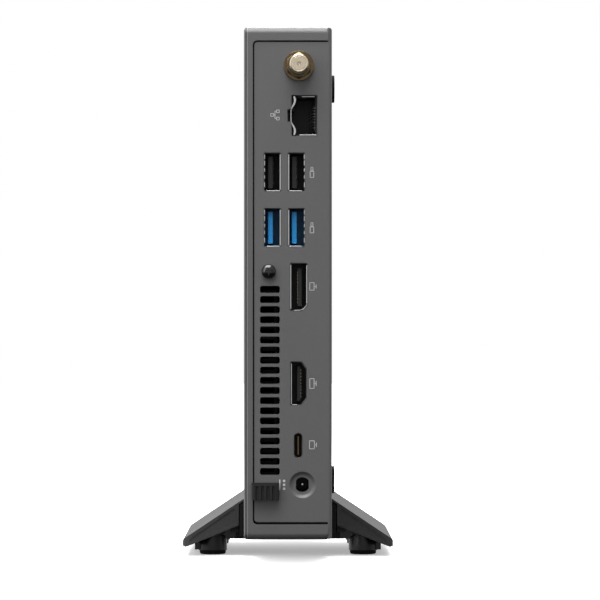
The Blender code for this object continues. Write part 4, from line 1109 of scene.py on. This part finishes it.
def rim_strips(name, strips):
    """Bright edges of a shell that reach into the panel's opening, each (x span, z span)."""
    y = (SOCKET_FACE - 1.2, PANEL_OUT - 0.3)
    rim = joined(name, [slab("strip", x, y, z, tin()) for x, z in strips])
    soften(rim, 0.06, 1, 35)
    settle(rim, "chassis", "socket_steel")


def socket_insert(name, node, look, slot, tongues, contact_look):
    """Moulded insert: back block, tongues with rounded noses, and plated contact strips."""
    x, y, z = box_of(node)
    back = y[0] + 3.5
    block = slab(name, x, (y[0], back), z, look)
    noses, strips = [], []
    for tx, thick, tz, tall, count, face in tongues:
        outline = rounded([
            (tx - thick / 2, back - 0.1, 0), (tx + thick / 2, back - 0.1, 0),
            (tx + thick / 2, y[1], 0.3), (tx - thick / 2, y[1], 0.3)], 4)
        noses.append(prism("nose", outline, "Z", about(tz, tall)))
        pitch = (tall - 1.6) / max(count, 1)
        for i in range(count):
            cz = tz + (i - (count - 1) / 2) * pitch
            sx = tx + face * (thick / 2 + 0.02)
            strips.append(slab("strip", about(sx, 0.12), (back, y[1] - 0.5),
                               about(cz, pitch * 0.5), contact_look))
    carve(block, noses, "UNION")
    soften(block, 0.08, 2, 35)
    settle(block, "chassis", slot, node)
    if strips:
        contacts = joined(name + "_contacts", strips)
        settle(contacts, "chassis", "gold_plate")


def build_usb_stacks():
    rows = (
        ("upper", UPPER_USB_Z, black_plastic(), "black_plastic"),
        ("lower", LOWER_USB_Z, blue_plastic(), "blue_plastic"),
    )
    ports = ((USB_LEFT_X, 1), (USB_RIGHT_X, -1))
    for row, z, look, slot in rows:
        outlines = [usb_outline(x, z, -0.25) for x, _ in ports]
        socket_shell(f"stack_{row}_shell", f"usb_{row}_shell", outlines)
        strips = []
        for x, way in ports:
            inner, outer = x - way * USB_WIDE / 2, x + way * USB_WIDE / 2
            strips.append((sorted((inner + way * 0.12, inner + way * 0.52)), about(z, 12.3)))
            strips.append((about(x - way * 0.3, 4.5), (z - 6.62, z - 6.3)))
            for dz, tall in ((5.3, 1.6), (3.1, 1.7), (0.7, 1.1), (-1.7, 1.1), (-4.4, 1.6)):
                strips.append((sorted((outer - way * 0.1, outer - way * 0.4)), about(z + dz, tall)))
        rim_strips(f"stack_{row}_rims", strips)
        tongues = [(x + 0.75, 1.75, z, USB_TALL - 2.6, 4, -1) for x, _ in ports]
        socket_insert(f"stack_{row}_insert", f"usb_{row}_insert", look, slot, tongues, nickel())


def build_video_sockets():
    ux, uz = VIDEO_UPPER
    socket_shell("video_upper_shield", "video_upper_shell", [video_upper_outline(-0.3)])
    rim_strips("video_upper_rims", [
        ((ux + 2.6, ux + 2.95), about(uz + 0.1, 15.2)),
        ((ux - 2.95, ux - 2.6), about(uz + 0.9, 13.2))])
    cut = ribbon("video_upper_cut", [
        (ux - 2.75, uz - 5.9, 0.25), (ux - 2.55, uz - 6.5, 0.25), (ux - 1.5, uz - 7.7, 0.25),
        (ux - 0.2, uz - 8.05, 0.25), (ux + 1.6, uz - 8.05, 0.25)],
        (SOCKET_FACE - 1.2, PANEL_OUT - 0.45), tin())
    soften(cut, 0.05, 1, 50)
    settle(cut, "chassis", "socket_steel")
    socket_insert("video_upper_core", "video_upper_insert", black_plastic(), "black_plastic",
                  [(ux - 0.35, 1.5, uz, 13.1, 10, 1)], gold())
    lx, lz = VIDEO_LOWER
    socket_shell("video_lower_shield", "video_lower_shell", [video_lower_outline(-0.3)])
    rim_strips("video_lower_rims", [
        ((lx + 2.35, lx + 2.65), about(lz - 0.1, 14.0)),
        ((lx + 0.6, lx + 2.2), (lz - 7.5, lz - 7.25))])
    socket_insert("video_lower_core", "video_lower_insert", black_plastic(), "black_plastic",
                  [(lx - 0.1, 1.3, lz, 11.9, 9, -1)], gold())


def build_usb_c():
    socket_shell("oval_shield", "usb_c_shell", [usb_c_outline(-0.25)])
    socket_insert("oval_core", "usb_c_insert", brass(), "gold_plate",
                  [(USB_C[0], 0.8, USB_C[1], 6.4, 0, 1)], gold())
    y = (span_of("usb_c_shell", 1)[0], span_of("usb_c_insert", 1)[1])
    plate = prism("oval_back", usb_c_outline(-0.3), "Y", (y[0] + 0.1, y[0] + 0.6), black_plastic())
    carve(plate, [slab("slot", about(USB_C[0], 1.0), (y[0] - 1, y[0] + 3), about(USB_C[1], 6.6))])
    settle(plate, "chassis", "black_plastic")


def build_inlet():
    """Round inlet behind the dish, with a sprung contact and a bright pin."""
    x, y, z = box_of("power_inlet")
    body = slab("inlet_body", x, y, z, black_plastic())
    carve(body, [prism("bore", inlet_bore_outline(2.45, 2.1), "Y", (y[1] - 11, y[1] + 2))])
    soften(body, 0.15, 2, 35)
    settle(body, "chassis", "black_plastic", "power_inlet")
    top = span_of("inlet_pin", 1)[1]
    long = top - span_of("inlet_pin", 1)[0]
    nose = [(0.5 * math.sin(a), -0.5 + 0.5 * math.cos(a)) for a in (
        math.pi / 2 * i / 6 for i in range(7))]
    nose[0] = (0, 0)
    pin = lathe("inlet_centre_pin", [*nose, (0.5, -long), (0, -long)],
                (INLET[0], top, INLET[1]), "+Y", tin(), 24)
    soften(pin, 0)
    settle(pin, "chassis", "socket_steel", "inlet_pin")


# Front

GRILLE_ROWS, GRILLE_LOWEST, GRILLE_PITCH = 17, 14.0, 5.4


def build_bezel():
    """Moulded front: rounded slab with a grille of slots and the front openings."""
    y = (FRONT, (BEZEL_HIGH.y - CHASSIS.y) / MM)
    steps = 6
    loops = []
    rim = 1.6
    for i in range(steps + 1):
        a = math.pi / 2 * i / steps
        inset = rim * (1 - math.sin(a))
        outline = rectangle(
            (-HALF + inset, HALF - inset), (inset, HEIGHT - inset), 3.0, 8)
        loops.append([spot("Y", across, up, FRONT + rim * (1 - math.cos(a))) for across, up in outline])
    loops.append([spot("Y", across, up, y[1]) for across, up in rectangle(
        (-HALF, HALF), (0, HEIGHT), 3.0, 8)])
    bezel = loft("bezel", loops, bezel_plastic())
    wall = 2.2
    cutters = [prism("hollow", rectangle(
        (-HALF + wall, HALF - wall), (wall, HEIGHT - wall), 1.8, 6), "Y", (FRONT + wall, y[1] + 2))]
    deep = (FRONT - 3, FRONT + 5)
    for row in range(GRILLE_ROWS):
        z = GRILLE_LOWEST + GRILLE_PITCH * row
        cutters.append(prism("slot", rectangle(about(0, 19.0), about(z, 2.6), 1.25, 6), "Y", deep))
    button_z = middle(span_of("power_button", 2))
    light_z = middle(span_of("status_light", 2))
    usb = face_centre("front_usb_shell")
    oval = face_centre("front_usb_c_shell")
    audio = face_centre("audio_jack")
    cutters += [prism("hole", outline, "Y", deep) for outline in (
        circle((0, button_z), 4.7, 64), circle((0, light_z), 1.3, 24), circle(audio, 2.9, 40),
        usb_outline(*usb, 0), usb_c_outline(0, oval))]
    carve(bezel, cutters)
    soften(bezel, 0.16, 2, 38)
    settle(bezel, "chassis", "bezel_plastic", "front_bezel")


def build_button():
    """Power button with a dished face, and the lens beside it."""
    z = middle(span_of("power_button", 2))
    face = FRONT - span_of("power_button", 1)[0]
    profile = [(0, face - 0.42), (2.2, face - 0.35), (3.6, face - 0.12), (4.05, face), (4.25, face - 0.1),
               (4.4, face - 0.4), (4.4, -2.5), (5.4, -2.5), (5.4, -3.5), (0, -3.5)]
    button = lathe("power_cap", profile, (0, FRONT, z), "-Y", bezel_plastic(), 64)
    soften(button, 0, 1, 30)
    settle(button, "button", "bezel_plastic", "power_button")
    sign = []
    for i in range(25):
        a = math.radians(120 + 300 * i / 24)
        sign.append(Vector((0, FRONT + 0.28, z)) * MM + CHASSIS + Vector(
            (1.45 * math.cos(a), 0, 1.45 * math.sin(a))) * MM)
    ring = tube("power_sign_ring", sign, 0.14, ink(), 8)
    stroke = tube("power_sign_stroke", [
        CHASSIS + Vector((0, FRONT + 0.34, z + dz)) * MM for dz in (0.5, 1.9)], 0.14, ink(), 8)
    mark = joined("power_sign", [ring, stroke])
    settle(mark, "button", "light_lens")
    lz = middle(span_of("status_light", 2))
    light = lathe("status_lens_cap", [
        (0, -0.12), (0.6, -0.17), (0.95, -0.4), (1.0, -2.6), (1.6, -2.6), (1.6, -5.0), (0, -5.0)],
        (0, FRONT, lz), "-Y", lens(), 32)
    soften(light, 0, 1, 30)
    settle(light, "chassis", "light_lens", "status_light")


def build_front_sockets():
    socket_shell("front_socket_shell", "front_usb_shell",
                 [usb_outline(*face_centre("front_usb_shell"), -0.32)], tin(), 0.07)
    socket_shell("front_oval_shell", "front_usb_c_shell",
                 [usb_c_outline(-0.25, face_centre("front_usb_c_shell"))], tin(), 0.07)
    dress("front_usb_insert", blue_plastic(), 0.1)
    dress("front_usb_c_insert", gold(), 0.05)
    x, z = span_of("audio_jack", 0), span_of("audio_jack", 2)
    y = span_of("audio_jack", 1)
    body = slab("audio_body", x, (y[0], y[1]), z, black_plastic())
    carve(body, [prism("bore", circle((middle(x), middle(z)), 1.8, 40), "Y", (y[0] - 1, y[0] + 10))])
    soften(body, 0.2, 2, 35)
    settle(body, "chassis", "black_plastic", "audio_jack")
    ring = lathe("audio_ring", [
        (1.85, -0.05), (2.45, -0.05), (2.5, 0.1), (2.5, 1.9), (2.3, 2.05), (1.95, 2.05), (1.85, 1.9),
        (1.85, -0.05)], (middle(x), y[0], middle(z)), "-Y", tin(), 40)
    soften(ring, 0)
    settle(ring, "chassis", "socket_steel")


# Inside

def dress_inside():
    for node in ("motherboard", "memory_lower", "memory_upper", "solid_state_drive", "wireless_card"):
        dress(node, board_mask(), 0.1)
    # The intake filter is dressed black: a filter behind the grille, and also a dark sheet that keeps what
    # shows through the vents dark, painted shade for the inside of the casing.
    for node in ("memory_socket", "power_switch", "antenna_lead", "intake_filter"):
        dress(node, black_plastic(), 0.0 if node == "antenna_lead" else 0.2)
    for node in ("board_standoff_1", "board_standoff_2", "board_standoff_3", "board_standoff_4",
                 "coin_cell", "fan_shaft", "processor"):
        dress(node, tin(), 0.15)
    dress("cold_plate", copper(), 0.1)
    dress("heat_pipe", copper(), 0.0)
    # The fins' near-black is painted shade for the inside of the casing.
    dress("fin_stack", fins_in_painted_shade(), 0.0)
    dress("blower_housing", black_plastic(), 0.15)
    for node in ("antenna_lead", "heat_pipe", "coin_cell", "fan_shaft"):
        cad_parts[node].data.shade_smooth()
        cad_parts[node].data.set_sharp_from_angle(angle=math.radians(40))


def build_rotor():
    """Blower wheel with backswept curved blades on a hub, under a thin shroud ring."""
    x = span_of("fan_rotor", 0)
    y = middle(span_of("fan_shaft", 1))
    z = middle(span_of("fan_shaft", 2))
    outer = (span_of("fan_rotor", 1)[1] - span_of("fan_rotor", 1)[0]) / 2
    centre = (x[0], y, z)
    wide = x[1] - x[0]
    hub = lathe("wheel_hub", [
        (1.6, 0.1), (1.7, 0), (10.7, 0), (11, 0.3), (11, wide - 1.2), (10.4, wide - 0.4), (9.4, wide),
        (2.2, wide), (1.6, wide - 0.3), (1.6, 0.1)], centre, "+X", black_plastic(), 64)
    pieces = [hub]
    count = 31
    for i in range(count):
        outline = []
        for edge in (0.3, -0.3):
            steps = range(7) if edge > 0 else range(6, -1, -1)
            for step in steps:
                radius = 10.8 + (outer - 11.0) * step / 6
                turn = 2 * math.pi * i / count + 0.28 * (step / 6) ** 1.4
                along, across = radius, edge
                outline.append((
                    y + along * math.cos(turn) - across * math.sin(turn),
                    z + along * math.sin(turn) + across * math.cos(turn)))
        pieces.append(prism("blade", outline, "X", (x[0] + 0.6, x[1] - 0.5), black_plastic()))
    ring = lathe("wheel_ring", [
        (outer - 1.6, 0.1), (outer - 0.15, 0.1), (outer - 0.15, 0.8), (outer - 1.6, 0.8),
        (outer - 1.6, 0.1)], centre, "+X", black_plastic(), 64)
    wheel = joined("blower_wheel", [*pieces, ring])
    soften(wheel, 0, 1, 30)
    settle(wheel, "rotor", "black_plastic", "fan_rotor")


# Stand

WING_TOP, WING_TIP_TOP, WING_LIP = 19.6, 6.0, 0.8


def wing_section():
    """Inner face, tip, height of the top at the inner face, and slope of a wing."""
    inner = LINER_HIGH.x / MM + GAP
    tip = BASE_HIGH.x / MM
    return inner, tip, WING_TOP, (WING_TOP - WING_TIP_TOP) / (tip - inner)


def stand_piece(name, hand):
    """One hollow wing: lip over the liner, rounded tip and a framed face at each end."""
    inner, tip, top, slope = wing_section()
    depth = (BASE_HIGH.y - BASE_LOW.y) / MM
    lip = HALF + GAP
    lip_top = top + slope * (inner - lip)
    outline = rounded([
        (hand * lip, lip_top, 0.25), (hand * lip, lip_top - WING_LIP, 0.2),
        (hand * inner, top - WING_LIP, 0),
        (hand * inner, 11.2, 0), (hand * (tip - 1.2), 3.3, 0.5),
        (hand * tip, 3.6, 0.3), (hand * tip, WING_TIP_TOP, 1.6)], 6)
    wing = prism(name, outline, "Y", about(0, depth), stand_plastic(), STAND)
    plan = prism("plan", rectangle(about(0, 2 * tip), about(0, depth), 4.0, 10), "Z",
                 (-2, 40), None, STAND)
    carve(wing, [plan], "INTERSECT")
    drop = 2.0 * math.hypot(1, slope)
    rib = inner + 3.2
    pocket_outline = [(hand * rib, -1), (hand * (tip - 2), -1),
                      (hand * (tip - 2), WING_TIP_TOP + slope * 2 - drop),
                      (hand * rib, top - slope * 3.2 - drop)]
    pocket = prism("pocket", pocket_outline, "Y", about(0, depth - 4), None, STAND)
    recess_outline = rounded([
        (hand * (inner + 1.3), top - 2.1, 0.4), (hand * (inner + 1.3), 11.9, 0.3),
        (hand * (tip - 2.6), 4.9, 0.5), (hand * (tip - 2.4), 5.9, 0.5)], 4)
    faces = [prism("recess", recess_outline, "Y", about(end * depth / 2, 0.5), None, STAND)
             for end in (1, -1)]
    carve(wing, [pocket, *faces])
    return wing


def build_stand_base():
    """Two hollow wings and the bridge between them."""
    inner, _, top, _ = wing_section()
    depth = (BASE_HIGH.y - BASE_LOW.y) / MM
    wings = [stand_piece("stand_wings", 1), stand_piece("wing", -1)]
    extras = []
    for hand in (1, -1):
        rib = sorted((hand * (inner + 0.1), hand * (inner + 3.1)))
        extras.append(slab("rib", rib, about(0, depth - 8), (8.4, top - 4), None, STAND))
    near, far = inner + 0.2, inner + 3.0
    bridge = [(-far, 5.0), (far, 5.0), (far, 9.4), (near, 9.4), (near, 6.7), (-near, 6.7),
              (-near, 9.4), (-far, 9.4)]
    extras.append(prism("bridge", bridge, "Y", about(0, 40.0), None, STAND))
    base = carve(wings[0], [wings[1], *extras], "UNION")
    base.data.materials.clear()
    base.data.materials.append(stand_plastic())
    soften(base, 0.2, 3, 35)
    settle(base, "stand", "stand_plastic", "stand_base")


def build_stand_bosses():
    """Cups that hold the rubber feet, each with a stepped rim, hung from the wings' hollows."""
    inner, _, top, slope = wing_section()
    bosses = []
    for number in range(1, 5):
        node = f"stand_foot_{number}"
        x, y = middle(span_of(node, 0, STAND)), middle(span_of(node, 1, STAND))
        roof = top - slope * (abs(x) + 6.0 - inner) - 2.2
        bosses.append(lathe("boss", [
            (0, roof), (5.1, roof), (5.25, 4.3), (5.3, 1.7), (5.2, 1.4), (5.05, 1.4),
            (4.98, 1.55), (4.98, 2.9), (0, 2.9)], (x, y, 0), "+Z", gloss_black(), 64, STAND))
        hand = math.copysign(1, x)
        for reach, wide, low, high in ((1, 6.5, 1.7, 4.2), (-1, 8.4, 5.7, 10.0)):
            across = sorted((x + hand * reach * 4.6, x + hand * reach * wide))
            bosses.append(slab("gusset", across, about(y, 5.0), (low, high), gloss_black(), STAND))
    cups = joined("stand_bosses", bosses)
    soften(cups, 0, 1, 30)
    settle(cups, "stand", "stand_plastic")


def build_liner():
    """Soft channel under the wings' lips."""
    outer = LINER_HIGH.x / MM
    side = outer - 2.0
    low = LINER_LOW.z / MM
    depth = (LINER_HIGH.y - LINER_LOW.y) / MM
    floor = TRAY_LOW.z / MM - GAP
    high = LINER_HIGH.z / MM
    outline = rounded([
        (-outer, low, 0.5), (outer, low, 0.5), (outer, high, 0.2), (side + 0.2, high + 0.9, 0.2),
        (side, high, 0), (side, floor, 0), (-side, floor, 0), (-side, high, 0),
        (-side - 0.2, high + 0.9, 0.2), (-outer, high, 0.2)], 4)
    liner = prism("liner", outline, "Y", about(0, depth), liner_rubber(), STAND)
    soften(liner, 0.15, 2, 35)
    settle(liner, "stand", "liner_rubber", "stand_liner")


def build_stand_feet():
    for number in range(1, 5):
        node = f"stand_foot_{number}"
        x, y = middle(span_of(node, 0, STAND)), middle(span_of(node, 1, STAND))
        profile = [(0, 2.6), (4.8, 2.6), (4.8, 0.7), (4.72, 0.35), (4.5, 0.08), (4.2, 0), (3.6, 0),
                   (3.3, 0.12), (0, 0.12)]
        foot = lathe(f"pad_{number}", profile, (x, y, 0), "+Z", foot_rubber(), 56, STAND)
        soften(foot, 0)
        settle(foot, "stand", "foot_rubber", node)


# Studio

def soft_box(name, place, aim, size, power):
    data = bpy.data.lights.new(name, "AREA")
    data.shape = "RECTANGLE"
    data.size, data.size_y = size
    data.energy = power
    obj = bpy.data.objects.new(name, data)
    obj.location = place
    obj.rotation_euler = (Vector(aim) - Vector(place)).to_track_quat("-Z", "Y").to_euler()
    bpy.context.scene.collection.objects.link(obj)
    return obj


def build_floor(tint):
    side = 4.0
    shape = bmesh.new()
    bmesh.ops.create_grid(shape, x_segments=1, y_segments=1, size=side)
    floor = made("floor", shape)
    graph = Graph("plain_floor", tint, 0.9)
    place = graph.place()
    graph.set("Base Color", graph.mix(
        graph.noise(place, 0.4, 2.0), shade(tint, 0.995), shade(tint, 1.005)))
    along, across = graph.axis(place, "Y"), graph.axis(place, "X")
    # The floor glows evenly white, except inside a soft rectangle under the stand where the glow drops to
    # 0.37: a painted shadow standing in for the contact shadow.
    graph.shader.inputs["Emission Strength"].default_value = 1.0
    wide = graph.ramp(across * across, (HALF * 4.0 * MM) ** 2, (HALF * 5.2 * MM) ** 2)
    deep = (along - 0.012) * (along - 0.012)
    outside_painted_shadow = graph.maths("MAXIMUM", wide, graph.ramp(deep, 0.016 ** 2, 0.028 ** 2))
    graph.set("Emission Color", graph.mix(outside_painted_shadow, (0.37, 0.37, 0.37, 1.0), (1.0, 1.0, 1.0, 1.0)))
    floor.data.materials.append(graph.material)
    floor.visible_diffuse = floor.visible_glossy = False


def build_world(group):
    """White room, dimmer below, on the camera's side and on the tray's side."""
    world = bpy.data.worlds.new("studio")
    world.use_nodes = True
    nodes = Nodes(world.node_tree)
    back = world.node_tree.nodes["Background"]
    way = Value(nodes, nodes.node("ShaderNodeTexCoord").outputs["Generated"])
    level = 1.0
    for axis, low, high, first, last in (
            ("Y", 0.1, 0.8, group.room, group.front), ("Z", -0.4, -0.03, group.under, 1.0),
            ("X", -0.8, -0.15, group.shaded, 1.0)):
        band = nodes.node("ShaderNodeMapRange", {"interpolation_type": "SMOOTHSTEP"}, {
            "Value": nodes.axis(way, axis), "From Min": low, "From Max": high,
            "To Min": first, "To Max": last})
        level = level * Value(nodes, band.outputs[0])
    nodes.feed(back.inputs["Strength"], level)
    back.inputs["Color"].default_value = (1.0, 1.0, 1.0, 1.0)
    bpy.context.scene.world = world


def build_studio():
    group = settings("mini_pc_studio")
    rear = COVER_HIGH.y
    camera = bpy.data.cameras.new("camera")
    camera.lens = group.lens
    camera.sensor_width = 36.0
    camera.shift_x = group.shift_side
    camera.shift_y = group.shift_up
    camera.clip_end = 50.0
    eye = bpy.data.objects.new("camera", camera)
    eye.location = (0.0, rear + group.distance, group.eye)
    eye.rotation_euler = (math.pi / 2, 0.0, math.pi)
    bpy.context.scene.collection.objects.link(eye)
    bpy.context.scene.camera = eye
    soft_box("overhead", (0.15, 0.35, 1.0), (0.0, 0.0, 0.1), (0.9, 0.9), group.overhead)
    soft_box("side", (0.9, 0.8, 0.45), (0.0, 0.0, 0.08), (0.5, 0.9), group.side)
    soft_box("rim", (0.0, -0.6, 0.9), (0.0, 0.0, 0.18), (1.2, 0.5), group.back)
    build_floor(group.floor)
    build_world(group)
    bpy.context.scene.view_settings.view_transform = "Standard"


# Operators

def operator(name, label, text, *steps):
    """An operator class that runs the given build functions in order."""
    def execute(self, context):
        for step in steps:
            step()
        return {"FINISHED"}
    return type("MINIPC_OT_" + name, (bpy.types.Operator,), {
        "__doc__": text, "bl_idname": "minipc." + name, "bl_label": label, "execute": execute})


OPERATORS = (
    operator("cover", "Cover", "Build the folded cover", build_cover),
    # The seam lines are thin strips coloured as painted shade and painted highlight.
    operator("seam", "Seam lines", "Build the edge lines of the cover's side sheet", build_painted_edge_lines),
    # The seam's dark strips are painted shade.
    operator("gasket", "Seam gasket", "Build the gasket in the cover's seam", build_seam_painted_shade),
    operator("tray", "Base tray", "Build the base tray with its rear panel", build_tray),
    operator("marks", "Socket marks", "Print the pictograms beside the sockets", build_marks),
    operator("screw", "Cover screw", "Build the cover's screw", build_screw),
    operator("latch", "Cover latch", "Build the ribbed latch", build_latch),
    operator("case_feet", "Side feet", "Build the rubber feet on the tray", build_case_feet),
    operator("antenna", "Antenna jack", "Build jack, washer and nut", build_antenna),
    operator("network", "Network socket", "Build the network socket", build_network_socket),
    operator("usb", "Stacked sockets", "Build both stacked socket pairs", build_usb_stacks),
    operator("video", "Video sockets", "Build both video sockets", build_video_sockets),
    operator("oval", "Oval socket", "Build the reversible socket", build_usb_c),
    operator("inlet", "Power inlet", "Build the power inlet and its pin", build_inlet),
    operator("bezel", "Front bezel", "Build the front bezel", build_bezel),
    operator("button", "Power button", "Build the button, its sign and the lens", build_button),
    operator("front_sockets", "Front sockets", "Build the front sockets", build_front_sockets),
    operator("inside", "Inside", "Give the inner pieces their finishes", dress_inside),
    operator("rotor", "Blower wheel", "Build the blower's wheel", build_rotor),
    operator("stand_base", "Stand", "Build the stand's wings and bridge", build_stand_base),
    operator("bosses", "Stand bosses", "Build the cups above the feet", build_stand_bosses),
    operator("liner", "Stand liner", "Build the soft channel", build_liner),
    operator("stand_feet", "Stand feet", "Build the stand's rubber feet", build_stand_feet),
    operator("studio", "Studio", "Build floor, light and camera", build_studio),
)


class MINIPC_PT_panel(bpy.types.Panel):
    """Lists the pieces and their settings"""
    bl_label = "Mini PC"
    bl_idname = "MINIPC_PT_panel"
    bl_space_type = "VIEW_3D"
    bl_region_type = "UI"
    bl_category = "Mini PC"

    def draw(self, context):
        for cls in OPERATORS:
            self.layout.operator(cls.bl_idname)
        for name, group in GROUPS.items():
            box = self.layout.box()
            for prop in group.__annotations__:
                box.prop(getattr(context.scene, name), prop)


def register():
    for name, group in GROUPS.items():
        bpy.utils.register_class(group)
        setattr(bpy.types.Scene, name, bpy.props.PointerProperty(type=group))
    for cls in (*OPERATORS, MINIPC_PT_panel):
        bpy.utils.register_class(cls)


def unregister():
    for cls in reversed((*OPERATORS, MINIPC_PT_panel)):
        bpy.utils.unregister_class(cls)
    for name, group in reversed(GROUPS.items()):
        delattr(bpy.types.Scene, name)
        bpy.utils.unregister_class(group)


def main():
    register()
    for cls in OPERATORS:
        group, name = cls.bl_idname.split(".")
        getattr(getattr(bpy.ops, group), name)()


if __name__ == "__main__":
    main()
